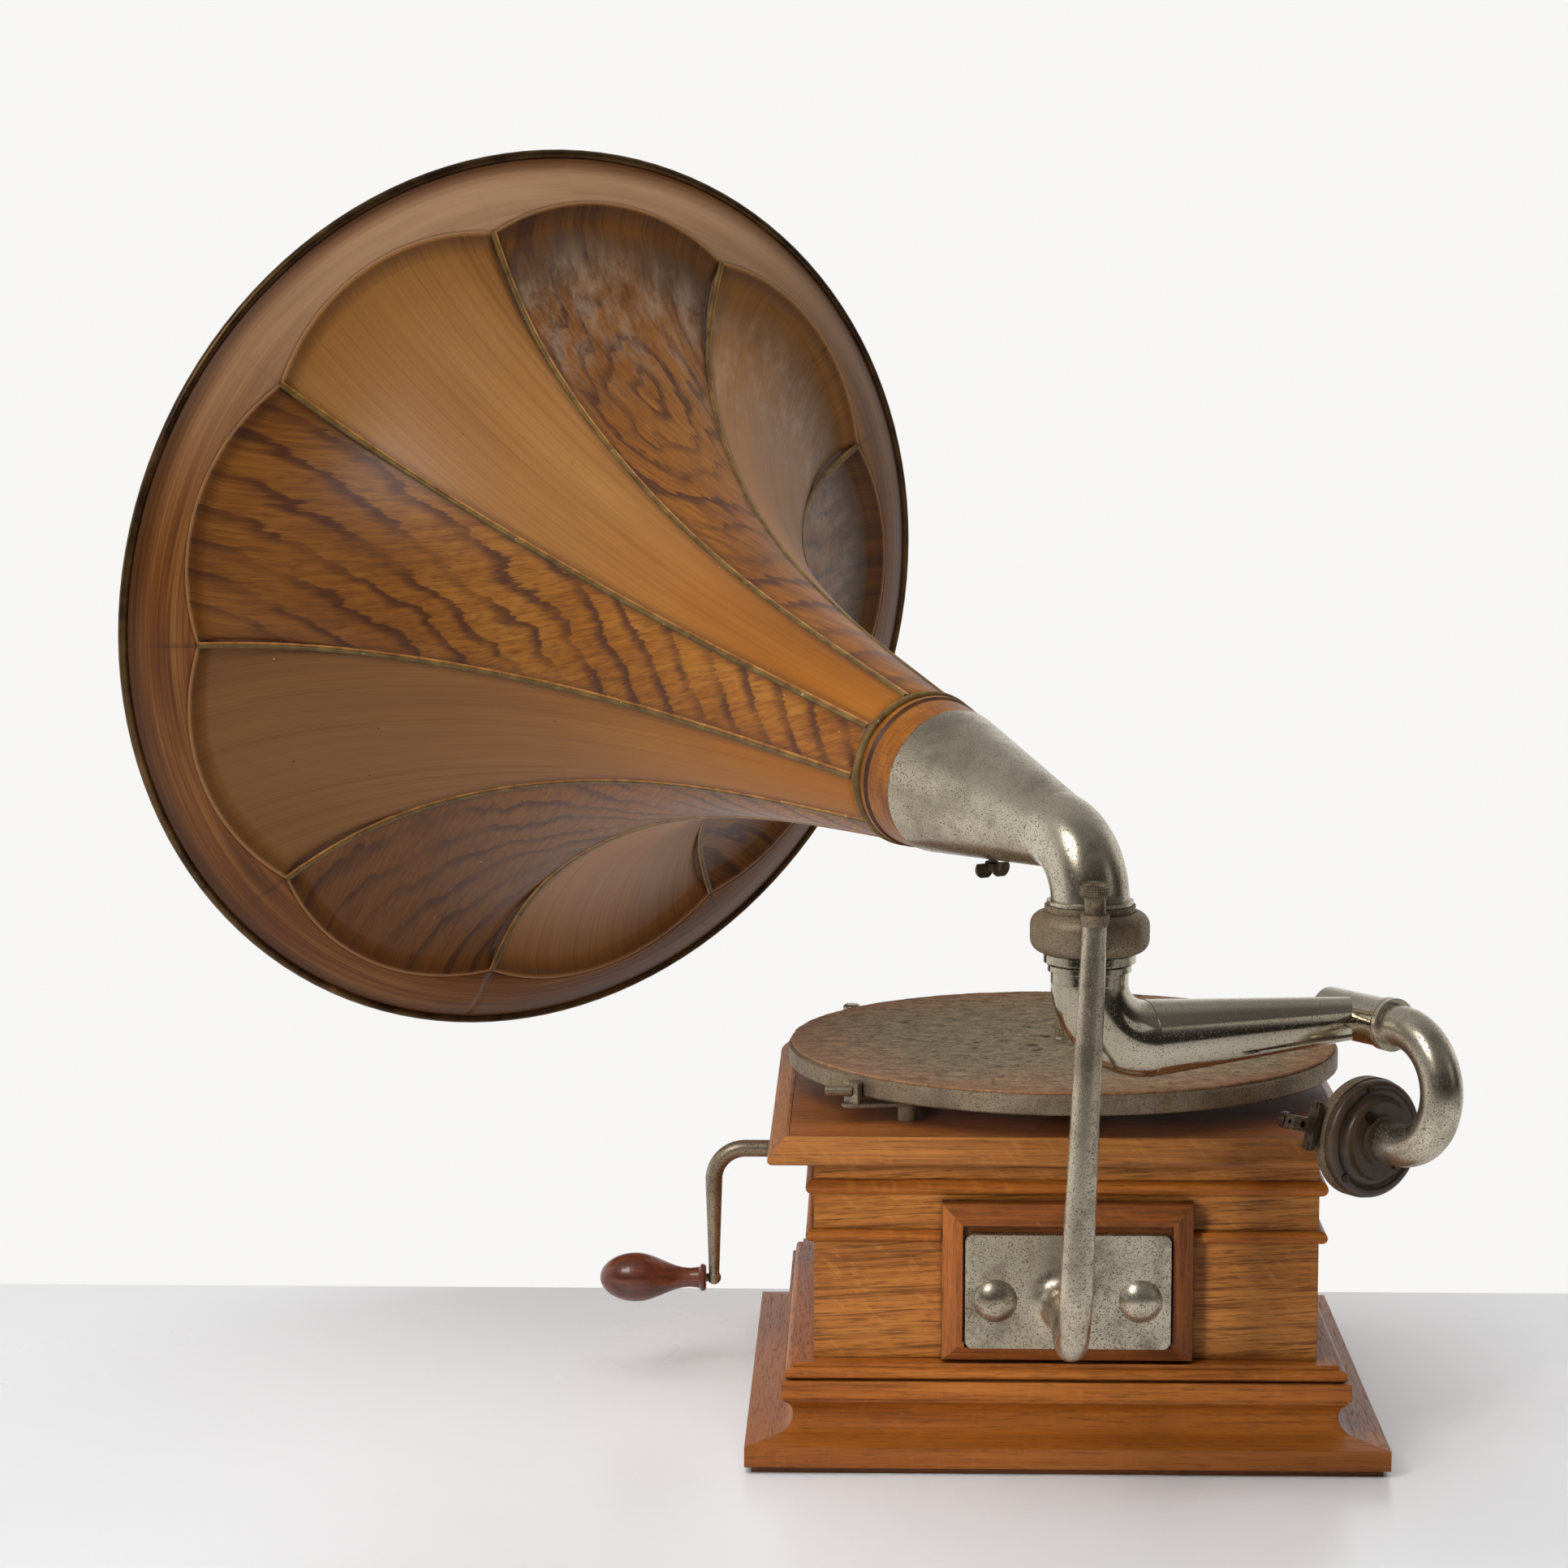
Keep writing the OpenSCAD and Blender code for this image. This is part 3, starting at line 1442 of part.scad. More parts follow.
module brake_lever() {
  color(rusty_nickel)
    difference() {
      union() {
        translate([brake_x, brake_y, brake_z])
          rotate([0, 0, brake_turn])
            linear_extrude(brake_t) {
              circle(brake_w / 2);
              translate([0, -brake_w / 2])
                square([brake_len, brake_w]);
              translate([brake_len, 0])
                circle(brake_w / 2);
            }
        on_brake_tab()
          translate([tab_d, -brake_w / 2, 0])
            cube([brake_t, brake_w, tab_h]);
        translate([tab_x, tab_y, brake_z + tab_h - peg_r - 1.5])
          rotate([0, -90, 0])
            cylinder(h = peg_len, r = peg_r);
      }
      translate([brake_x, brake_y, brake_z - 1])
        cylinder(h = brake_t + 2, r = brake_screw_r + fit);
      on_brake_tab()
        translate([tab_d - pad_t - 2, -brake_w, brake_t])
          cube([pad_t + 2, 2 * brake_w, tab_h]);
    }
}

module brake_pad() {
  color("#5a3b26")
    on_brake_tab()
      translate([tab_d - pad_t, -brake_w / 2 + 1, brake_t + 3])
        cube([pad_t, brake_w - 2, tab_h - brake_t - 3]);
}

module brake_post() {
  color(steel)
    translate([brake_x, brake_y, z_top]) {
      cylinder(h = brake_z - z_top - pass / 2, r = brake_screw_r + 2);
      cylinder(h = brake_z + brake_t - z_top + pass, r = brake_screw_r);
      translate([0, 0, brake_z + brake_t - z_top + pass / 2])
        cylinder(h = 1.4, r = brake_screw_r + 1.4);
    }
}

module regulator_knob() {
  color(rusty_nickel)
    translate([regulator_x, regulator_y, z_top]) {
      translate([0, 0, -board_t - regulator_tail])
        cylinder(h = board_t + regulator_tail + regulator_h - 5, r = regulator_stem_r);
      translate([0, 0, pass / 2])
        cylinder(h = 1.5, r = 5);
      translate([0, 0, regulator_h - 8])
        cylinder(h = 7, r = regulator_r);
      translate([0, 0, regulator_h - 1])
        cylinder(h = 1, r1 = regulator_r, r2 = regulator_r - 1);
    }
}

module crank() {
  bend_x = crank_x + crank_bend;
  color(nickel)
    translate([0, crank_y, 0]) {
      translate([bend_x, 0, z_crank])
        rotate([0, 90, 0])
          cylinder(h = barrel_x - shaft_tail - bend_x, r = crank_r);
      translate([bend_x, 0, z_crank - crank_bend])
        rotate([90, 0, 0])
          rotate([0, 0, 90])
            rotate_extrude(angle = 90)
              translate([crank_bend, 0])
                circle(crank_r);
      translate([crank_x, 0, z_handle])
        cylinder(h = crank_throw - crank_bend, r1 = crank_end_r, r2 = crank_r);
      translate([crank_x, 0, z_handle])
        sphere(crank_ball_r);
      translate([crank_x - handle_len + 4, 0, z_handle])
        rotate([0, 90, 0])
          cylinder(h = handle_len - 4, r = handle_pin_r);
    }
}

// Handle's radius at a share of its length: a slim neck, a belly and a round end
belly = 0.66;
function handle_swell(u) = (1 - cos(180 * (u - 0.15) / (belly - 0.15))) / 2;
function handle_shape(u) = u < belly ? handle_neck_r + (handle_r - handle_neck_r) * handle_swell(u)
  : handle_r * sqrt(max(0, 1 - pow((u - belly) / (1 - belly), 2)));

module crank_handle() {
  steps = 24;
  gap = 0.4;
  bore_end = handle_len - 4;
  foot = [[handle_pin_r + fit, 0], [handle_flange_r - 0.8, 0], [handle_flange_r, 1], [handle_flange_r, 2.4],
    [handle_flange_r - 1.4, 3.4]];
  body = [for (i = [0 : steps - 1])
    let (u = 1 - 0.85 * pow(1 - i / steps, 2))
      [handle_shape(u), u * handle_len]];
  color("#5f2f1a")
    translate([crank_x - crank_ball_r - gap, crank_y, z_handle])
      rotate([0, -90, 0])
        rotate_extrude()
          polygon(concat(foot, body, [[0, handle_len], [0, bore_end], [handle_pin_r + fit, bore_end]]));
}

module crank_bush() {
  color(brass)
    translate([-body_w / 2, crank_y, z_crank])
      rotate([0, 90, 0])
        difference() {
          union() {
            cylinder(h = wall, r = crank_r + fit + 2);
            translate([0, 0, -2])
              cylinder(h = 2, r = bush_r);
          }
          translate([0, 0, -3])
            cylinder(h = wall + 4, r = crank_r + fit);
        }
}

module winding_pinion() {
  color(steel)
    translate([barrel_x - bevel_r, crank_y, z_crank])
      rotate([0, 90, 0])
        difference() {
          union() {
            bevel_gear(winding_teeth, drive_mod, bevel_r - shaft_tail, bevel_r);
            translate([0, 0, -5])
              cylinder(h = 5, r = winding_r - 2);
          }
          translate([0, 0, -6])
            cylinder(h = 20, r = crank_r);
        }
}

module motor_plate() {
  color(iron)
    difference() {
      union() {
        translate([-13, 3, z_motor_plate])
          slab(motor_w, motor_d, motor_plate_t);
        translate([bearing_x, crank_y, z_crank - 7])
          slab(bearing_w, bearing_d, z_motor_plate - z_crank + 7);
      }
      translate([bearing_x - bearing_w, crank_y, z_crank])
        rotate([0, 90, 0])
          cylinder(h = 2 * bearing_w, r = crank_r + fit);
      for (p = shaft_places)
        translate([p[0], p[1], z_motor_plate - 1])
          cylinder(h = motor_plate_t + 2, r = p[2] + fit);
      for (p = screw_places)
        translate([p[0], p[1], z_motor_plate - 1])
          cylinder(h = motor_plate_t + 2, r = screw_r);
    }
}

module motor_base() {
  color(iron)
    difference() {
      union() {
        translate([-13, 3, z_motor_base - motor_plate_t])
          slab(motor_w, motor_d, motor_plate_t);
        for (p = pillar_places)
          translate([p[0], p[1], z_motor_base])
            cylinder(h = z_motor_plate - z_motor_base, r = pillar_r);
      }
      for (p = shaft_places)
        translate([p[0], p[1], z_motor_base - motor_plate_t + 1])
          cylinder(h = motor_plate_t, r = p[2] + fit);
    }
}

module motor_screws() {
  color(steel)
    for (p = screw_places)
      translate([p[0], p[1], 0]) {
        translate([0, 0, z_motor_plate - 4])
          cylinder(h = z_top - z_motor_plate + 4, r = screw_r);
        translate([0, 0, z_top])
          cylinder(h = 1.6, r1 = 4, r2 = 3);
        translate([0, 0, z_motor_top])
          difference() {
            cylinder(h = motor_gap, r = 4.5);
            translate([0, 0, -1])
              cylinder(h = motor_gap + 2, r = screw_r);
          }
      }
}

module spring_barrel() {
  color(steel)
    translate([barrel_x, crank_y, z_barrel])
      difference() {
        union() {
          cylinder(h = barrel_h, r = barrel_r);
          rotate([0, 0, inter_turn])
            gear(great_teeth, drive_mod, great_w);
        }
        translate([0, 0, barrel_t])
          cylinder(h = barrel_h - 2 * barrel_t, r = barrel_r - barrel_t);
        translate([0, 0, -1])
          cylinder(h = barrel_h + 2, r = arbor_r + fit);
      }
}

// Flat spiral spring between the arbor's hub and the barrel's wall
module mainspring() {
  steps = 20;
  inner_r = arbor_r + 4.5;
  outer_r = barrel_r - barrel_t - spring_t - pass;
  count = spring_turns * steps;
  function coil(i, add) = let (r = inner_r + (outer_r - inner_r) * i / count + add, a = 360 * i / steps)
    [r * cos(a), r * sin(a)];
  color("#5b6068")
    translate([barrel_x, crank_y, z_barrel + barrel_t + pass])
      linear_extrude(barrel_h - 2 * barrel_t - 2 * pass)
        polygon(concat([for (i = [0 : count]) coil(i, 0)], [for (i = [count : -1 : 0]) coil(i, spring_t)]));
}

module winding_arbor() {
  color(steel)
    translate([barrel_x, crank_y, 0]) {
      translate([0, 0, z_motor_base - motor_plate_t + 1 + pass])
        cylinder(h = z_motor_top - z_motor_base + motor_plate_t - 1 - pass, r = arbor_r);
      translate([0, 0, z_barrel + barrel_t + pass])
        cylinder(h = barrel_h - 2 * barrel_t - 2 * pass, r = arbor_r + 4);
      translate([0, 0, z_bevel])
        rotate([0, 0, 180 + 180 / bevel_teeth])
          bevel_gear(bevel_teeth, drive_mod, bevel_face * cos(atan2(bevel_teeth, winding_teeth)), winding_r);
      translate([0, 0, z_bevel - 3])
        cylinder(h = 3, r = arbor_r + 5);
    }
}

module intermediate_gear() {
  pinion_z = z_barrel - 1;
  color(brass)
    translate([inter_x, inter_y, 0]) {
      translate([0, 0, z_motor_base - motor_plate_t + 1 + pass])
        cylinder(h = z_motor_top - z_motor_base + motor_plate_t - 1 - pass, r = inter_r);
      translate([0, 0, pinion_z])
        rotate([0, 0, inter_turn + 180 - 180 / inter_pinion_teeth])
          gear(inter_pinion_teeth, drive_mod, great_w + 2);
      translate([0, 0, train_z])
        rotate([0, 0, inter_to_spindle])
          gear(inter_teeth, train_mod, train_w);
    }
}

module governor() {
  half = (governor_top_z - disc_z) / 2;
  bow_r = (half * half + spring_reach * spring_reach) / (2 * spring_reach);
  color(brass)
    translate([governor_x, 0, 0]) {
      translate([0, 0, z_motor_base - motor_plate_t + 1 + pass])
        cylinder(h = z_motor_top - z_motor_base + motor_plate_t - 1 - pass, r = governor_r);
      translate([0, 0, governor_wheel_z - 1])
        rotate([0, 0, 180 - 180 / governor_teeth])
          gear(governor_teeth, governor_mod, governor_wheel_w + 2);
      translate([0, 0, disc_z - 4])
        cylinder(h = 1.6, r = disc_r);
      for (z = [disc_z - 3, governor_top_z - 3])
        translate([0, 0, z])
          cylinder(h = 6, r = governor_r + 2);
      for (turn = [30, 150, 270])
        rotate([0, 0, turn]) {
          translate([governor_r + 1.6 + spring_reach - bow_r, 0, weight_z])
            rotate([90, 0, 0])
              linear_extrude(4, center = true)
                intersection() {
                  difference() {
                    circle(bow_r);
                    circle(bow_r - 0.6);
                  }
                  translate([bow_r - spring_reach, -half])
                    square([spring_reach + 1, 2 * half]);
                }
          translate([governor_r + 1.6 + spring_reach, 0, weight_z])
            rotate([0, 90, 0])
              translate([0, 0, -0.3])
                cylinder(h = 4, r = weight_r);
        }
    }
}

base_board();
plinth();
back_panel();
front_panel();
left_panel();
right_panel();
case_beads();
cap_frame();
motor_board();
bracket_backing();
bracket_arm();
bracket_collar();
bracket_bolts();
keeper_plate();
thumbscrew();
horn_elbow();
wing_screw();
horn_ferrule();
throat_ring();
horn_petal(1);  // horn_petal_1
horn_petal(2);  // horn_petal_2
horn_petal(3);  // horn_petal_3
horn_petal(4);  // horn_petal_4
horn_petal(5);  // horn_petal_5
horn_petal(6);  // horn_petal_6
horn_petal(7);  // horn_petal_7
horn_petal(8);  // horn_petal_8
horn_petal(9);  // horn_petal_9
horn_ribs();
horn_rim_band();
horn_rim_wire();
tone_arm();
tone_arm_retainer();
gooseneck();
soundbox_ring();
soundbox_back();
diaphragm();
soundbox_gaskets();
soundbox_screws();
needle_bar();
needle_screw();
platter();
felt();
spindle();
brake_lever();
brake_pad();
brake_post();
regulator_knob();
crank();
crank_handle();
crank_bush();
winding_pinion();
motor_plate();
motor_base();
motor_screws();
spring_barrel();
mainspring();
winding_arbor();
intermediate_gear();
governor();
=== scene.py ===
# %% [markdown]
# A table gramophone with a petalled tin horn. The frame holds every solid at its real size, in
# metres, in one shared space with +Z up. This lesson gives the solids their finishes and adds the
# pieces whose look depends on thin sheet, seams and fibres. Nothing in the frame is moved.

import math
import random

import bpy
from mathutils import Matrix, Vector, noise


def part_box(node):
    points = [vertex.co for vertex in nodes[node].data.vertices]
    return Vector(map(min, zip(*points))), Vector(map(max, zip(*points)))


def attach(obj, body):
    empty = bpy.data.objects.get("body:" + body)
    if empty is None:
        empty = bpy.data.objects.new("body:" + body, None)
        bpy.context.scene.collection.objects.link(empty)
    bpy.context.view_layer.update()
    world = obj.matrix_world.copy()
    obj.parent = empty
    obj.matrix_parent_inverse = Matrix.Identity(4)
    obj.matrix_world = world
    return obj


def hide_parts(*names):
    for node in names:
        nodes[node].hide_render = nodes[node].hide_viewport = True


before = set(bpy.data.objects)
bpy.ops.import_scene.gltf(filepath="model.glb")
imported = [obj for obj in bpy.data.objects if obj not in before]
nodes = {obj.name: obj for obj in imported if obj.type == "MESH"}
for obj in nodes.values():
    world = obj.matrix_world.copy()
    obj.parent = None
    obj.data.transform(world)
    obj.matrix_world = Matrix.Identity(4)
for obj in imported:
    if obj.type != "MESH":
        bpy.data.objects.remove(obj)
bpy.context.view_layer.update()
MM = 0.001
print("solids in the frame:", len(nodes))

# %% [markdown]
# A node tree is a formula drawn as boxes. Wiring hundreds of boxes by hand hides the formula, so a
# small class wraps a value that flows through a tree: adding or multiplying two such values adds a
# Math node. The same class serves shader trees and Geometry Nodes trees.

# %% Formulas as node trees
class Flow:
    """A value on its way through a node tree."""

    def __init__(self, tree, socket):
        self.tree = tree
        self.socket = socket

    def math(self, operation, *others):
        return feed(self.tree, "ShaderNodeMath", dict(enumerate((self, *others))), operation=operation)

    def __add__(self, other):
        return self.math("ADD", other)

    __radd__ = __add__

    def __sub__(self, other):
        return self.math("SUBTRACT", other)

    def __rsub__(self, other):
        return self * -1.0 + other

    def __mul__(self, other):
        return self.math("MULTIPLY", other)

    __rmul__ = __mul__

    def __truediv__(self, other):
        return self.math("DIVIDE", other)

    def __rtruediv__(self, other):
        return self ** -1.0 * other

    def __pow__(self, other):
        return self.math("POWER", other)

    def rise(self, start, end):
        """0 before start, 1 after end, and a soft slope between them."""
        return feed(self.tree, "ShaderNodeMapRange", {0: self, 1: start, 2: end},
                    interpolation_type="SMOOTHSTEP")


def plug(tree, value, slot):
    """Links a flowing value to an input, or sets a plain one on it."""
    if isinstance(value, Flow):
        tree.links.new(value.socket, slot)
    else:
        slot.default_value = value


def add(tree, kind, inputs=None, **settings):
    """Adds one node with its settings and inputs, which are named or numbered."""
    made = tree.nodes.new(kind)
    for key, value in settings.items():
        setattr(made, key, value)
    for key, value in (inputs or {}).items():
        plug(tree, value, made.inputs[key])
    return made


def feed(tree, kind, inputs=None, output=0, **settings):
    """Adds one node and gives the value that flows out of it."""
    return Flow(tree, add(tree, kind, inputs, **settings).outputs[output])


def combine(x, y, z):
    tree = next(v.tree for v in (x, y, z) if isinstance(v, Flow))
    return feed(tree, "ShaderNodeCombineXYZ", {0: x, 1: y, 2: z})


def split(vector):
    made = add(vector.tree, "ShaderNodeSeparateXYZ", {0: vector})
    return [Flow(vector.tree, socket) for socket in made.outputs]


print("a formula can be written as arithmetic on Flow values")

# %% [markdown]
# Every finish starts from a few patterns: soft clouds, streaks drawn out along one direction and
# scattered spots. Stretching the coordinates before a noise is what turns clouds into wood fibres
# or brush marks; a scale counts the pattern's cells in a metre. Colours are given as the eye reads
# them and turned into linear light.

# %% Patterns for finishes
def srgb(red, green, blue):
    """A colour read from 0 to 255, as linear light."""
    def linear(value):
        value /= 255
        return value / 12.92 if value <= 0.04045 else ((value + 0.055) / 1.055) ** 2.4
    return (linear(red), linear(green), linear(blue), 1.0)


def give(tree, shader, **values):
    """Links or sets inputs of a shader, written with _ for each space in their names."""
    for key, value in values.items():
        plug(tree, value, shader.inputs[key.replace("_", " ")])


def finish(name, **values):
    """A new material, its tree and its main shader, with the given inputs set."""
    material = bpy.data.materials.new(name)
    material.use_nodes = True
    tree = material.node_tree
    shader = tree.nodes["Principled BSDF"]
    give(tree, shader, **values)
    return material, tree, shader


def object_space(tree):
    return feed(tree, "ShaderNodeTexCoord", output="Object")


def stretch(vector, scale, shift=(0, 0, 0)):
    return feed(vector.tree, "ShaderNodeMapping", {"Vector": vector, "Location": shift, "Scale": scale})


def cloud(vector, scale=1.0, detail=3.0, rough=0.55, distort=0.0):
    return feed(vector.tree, "ShaderNodeTexNoise", {
        "Vector": vector, "Scale": scale, "Detail": detail, "Roughness": rough, "Distortion": distort})


def spots(vector, scale):
    """Distance from the nearest of many scattered points, and a random number for each point."""
    made = add(vector.tree, "ShaderNodeTexVoronoi", {"Vector": vector, "Scale": scale, "Randomness": 1.0})
    pick = split(Flow(vector.tree, made.outputs["Color"]))[0]
    return Flow(vector.tree, made.outputs["Distance"]), pick


def ramp(value, *stops):
    made = add(value.tree, "ShaderNodeValToRGB", {0: value})
    band = made.color_ramp
    while len(band.elements) < len(stops):
        band.elements.new(0.5)
    for element, (place, colour) in zip(band.elements, stops):
        element.position = place
        element.color = colour
    return Flow(value.tree, made.outputs[0])


def blend(share, under, over):
    """Two colours, mixed by a share of the second."""
    return feed(share.tree, "ShaderNodeMix", {0: share, 6: under, 7: over}, output=2, data_type="RGBA")


def relief(tree, shader, height, depth):
    """Bumps of the given depth in metres."""
    made = add(tree, "ShaderNodeBump", {"Height": height, "Distance": depth, "Strength": 1.0})
    tree.links.new(made.outputs[0], shader.inputs["Normal"])
    return made


def wear(material, *names):
    """Gives solids of the frame their finish."""
    for name in names:
        solid = nodes[name]
        if not solid.material_slots:
            solid.data.materials.append(material)
        for slot in solid.material_slots:
            slot.material = material
    print(material.name, "on", ", ".join(names))


print("patterns: clouds, streaks and spots")

# %% [markdown]
# The case is oak, fumed and varnished. Its mouldings are mitred, so the grain turns with each run.
# A texture can follow that without a seam in the mesh: inside a mitred frame, a point belongs to a
# side run where it lies further out in X than in Y, and there the two directions trade places. The
# side runs also take their grain from another part of the noise, as another board would.

# %% Grain directions
MITRE_SHIFT = (3.1, 1.7)


def grain_of_panel(along, across, slant=0.0):
    """Grain along one axis: the letters name the axes along and across it, slant is its slope."""
    def space(tree):
        axes = dict(zip("xyz", split(object_space(tree))))
        rest = next(axis for axis in "xyz" if axis not in (along, across))
        return axes[along], axes[across] - axes[along] * slant, axes[rest]
    return space


def grain_of_frame(name, first, second):
    """Grain that turns at the mitres of a rectangular frame in the plane of two axes."""
    low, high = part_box(name)
    middle = (low + high) / 2
    half = (high - low) / 2
    a, b = "xyz".index(first), "xyz".index(second)

    def space(tree):
        parts = split(object_space(tree))
        u = parts[a] - middle[a]
        v = parts[b] - middle[b]
        other = parts[3 - a - b]
        beyond = (u.math("ABSOLUTE") - half[a]) - (v.math("ABSOLUTE") - half[b])
        side = beyond.math("GREATER_THAN", 0.0)
        run = u + (v - u) * side
        width = v + (u - v) * side
        return run + side * MITRE_SHIFT[0], width + side * MITRE_SHIFT[1], other
    return space


print("grain can follow a panel or a mitred frame")

# %% [markdown]
# Oak shows several scales at once: broad bands from the growth rings, thin dark veins, pale rays,
# fine fibres and short pores. Each is a noise stretched along the grain. Pores are a little sunken
# and duller, so the same pattern drives colour, roughness and relief. A rounded normal softens the
# sawn edges, painted shade darkens the corners that ambient occlusion finds (standing also for
# soiling there), and painted shade darkens the wood towards the table.

# %% Oak
def rounded(tree, radius):
    """Shading normal of edges that were rubbed round."""
    return feed(tree, "ShaderNodeBevel", {"Radius": radius}, samples=4)


def corner_shade_and_dirt(tree, reach):
    """Painted shade at a place, found by ambient occlusion and standing also for soiling there: 0 in the
    open, up to 1 deep in a corner.
    """
    openness = feed(tree, "ShaderNodeAmbientOcclusion", {"Distance": reach}, output="AO", samples=4)
    return 1.0 - openness.rise(0.2, 0.7)


# heights above the table over which the painted shade on the wood fades out
FOOT_LOW, FOOT_HIGH = 6 * MM, 32 * MM


def oak(name, grain, light, middle, dark, lines=0.3):
    """Varnished oak in three tones; lines sets how strongly veins and pores are drawn."""
    material, tree, shader = finish(name, Coat_Weight=0.08, Coat_Roughness=0.3, Specular_IOR_Level=0.3)
    along, across, depth = grain(tree)
    board = combine(along, across, depth)
    deepest = tuple(0.45 * c for c in dark[:3]) + (1.0,)
    bands = cloud(stretch(board, (3.0, 26.0, 26.0)), detail=2.0, distort=0.5)
    fibres = cloud(stretch(board, (12.0, 520.0, 520.0)), detail=4.0, rough=0.65)
    rings = cloud(stretch(board, (11.0, 360.0, 360.0), (3.0, 1.0, 0.0)), detail=2.0, rough=0.4)
    broken = cloud(stretch(board, (40.0, 120.0, 120.0)), detail=2.0).rise(0.36, 0.56)
    veins = (1.0 - (rings - 0.5).math("ABSOLUTE").rise(0.01, 0.05)) * (broken * 0.7 + 0.3)
    slanted = combine(along + across * 0.8, across, depth)
    rays = cloud(stretch(slanted, (230.0, 70.0, 70.0)), detail=2.0).rise(0.56, 0.68)
    pores = cloud(stretch(board, (90.0, 1300.0, 1300.0)), detail=2.0).rise(0.54, 0.64)
    tone = bands * 0.5 + fibres * 0.5
    colour = ramp(tone, (0.32, dark), (0.5, middle), (0.68, light))
    colour = blend(rays * 0.3, colour, light)
    colour = blend(veins * lines, colour, deepest)
    colour = blend(pores * (0.25 + 0.4 * lines), colour, deepest)
    # painted shade: the wood is darkened towards the table, where its low faces lie in shade
    low_shade = 1.0 - split(object_space(tree))[2].rise(FOOT_LOW, FOOT_HIGH)
    colour = blend(low_shade * 0.45, colour, dark)
    # painted shade: corners that ambient occlusion finds are darkened, standing also for soiling there
    colour = blend(corner_shade_and_dirt(tree, 5 * MM) * 0.8, colour, srgb(36, 20, 12))
    give(tree, shader, Base_Color=colour, Roughness=fibres * 0.2 + pores * 0.2 + 0.32)
    made = relief(tree, shader, fibres * 0.35 - pores * 0.4 - veins * 0.3, 0.1 * MM)
    plug(tree, rounded(tree, 0.7 * MM), made.inputs["Normal"])
    return material


PALE_OAK = (srgb(202, 138, 66), srgb(174, 108, 44), srgb(128, 74, 28))
RED_OAK = (srgb(196, 120, 46), srgb(166, 94, 31), srgb(116, 62, 20))
CAP_OAK = (srgb(186, 122, 60), srgb(150, 93, 42), srgb(104, 60, 25))
DARK_OAK = (srgb(168, 98, 42), srgb(142, 79, 31), srgb(94, 50, 20))

wear(oak("oak panel front", grain_of_panel("x", "z", 0.05), *PALE_OAK, lines=0.7),
     "back_panel", "front_panel")
wear(oak("oak panel side", grain_of_panel("y", "z", 0.03), *PALE_OAK, lines=0.7),
     "left_panel", "right_panel")
wear(oak("oak plinth", grain_of_frame("plinth", "x", "y"), *RED_OAK), "plinth")
wear(oak("oak cap", grain_of_frame("cap_frame", "x", "y"), *CAP_OAK), "cap_frame")
wear(oak("oak bead", grain_of_frame("case_beads", "x", "y"), *RED_OAK), "case_beads")
wear(oak("oak backing", grain_of_frame("bracket_backing", "x", "z"), *DARK_OAK), "bracket_backing")
wear(oak("oak board", grain_of_panel("x", "y"), *DARK_OAK), "motor_board", "base_board")

# %% [markdown]
# The metal is nickel plate on brass and iron. Old nickel goes warm grey and rusts from below
# through countless pinholes, which run together into brown blooms. Two layers of scattered spots
# make the pinholes, and a slow cloud decides where they crowd. One dial sets how far it has gone:
# decayed plate is also chalkier, and stained in patches.

# %% Worn nickel
def nickel(name, decay, gloss=0.3, tint=0.0):
    """Nickel plate: decay from 0 to 1 sets how much is eaten, tint how brown it has gone."""
    material, tree, shader = finish(name)
    place = object_space(tree)
    crowd = cloud(place, 24.0, detail=3.0)
    fine, fine_pick = spots(place, 1250.0)
    coarse, coarse_pick = spots(place, 640.0)
    pits = (1.0 - fine.rise(0.2, 0.42)) * (fine_pick + crowd).rise(1.0 - decay, 1.2 - decay)
    blots = (1.0 - coarse.rise(0.12, 0.34)) * (coarse_pick + crowd).rise(1.38 - decay, 1.5 - decay)
    bloom = cloud(place, 90.0, detail=5.0, rough=0.7).rise(0.6 - decay * 0.25, 0.9 - decay * 0.2)
    haze = cloud(place, 11.0, detail=2.0)
    chalk = 1.0 + decay * (0.32 - tint * 0.5)
    deep, pale = (srgb(*(chalk * c for c in tone)) for tone in ((168, 157, 136), (196, 187, 168)))
    metal = ramp(haze, (0.3, deep), (0.7, pale))
    metal = blend(bloom * 0.35 + tint, metal, srgb(124, 98, 64))
    stain = cloud(place, 42.0, detail=5.0, rough=0.65).rise(0.44, 0.68)
    metal = blend(stain * (decay * 1.2), metal, srgb(112, 98, 80))
    rust = (pits + blots).math("MINIMUM", 1.0)
    colour = blend(rust * 0.85, metal, srgb(66, 46, 30))
    # painted shade: corners that ambient occlusion finds are darkened, standing also for soiling there
    colour = blend(corner_shade_and_dirt(tree, 4 * MM) * 0.75, colour, srgb(40, 28, 20))
    give(tree, shader, Base_Color=colour, Metallic=1.0 - rust * 0.6 - bloom * 0.2 - tint * 0.4,
         Roughness=haze * 0.1 + bloom * 0.14 + rust * 0.3 + tint * 0.2 + (gloss - 0.05))
    made = relief(tree, shader, rust * -0.5 - bloom * 0.15 + haze * 0.3, 0.04 * MM)
    plug(tree, rounded(tree, 0.5 * MM), made.inputs["Normal"])
    return material


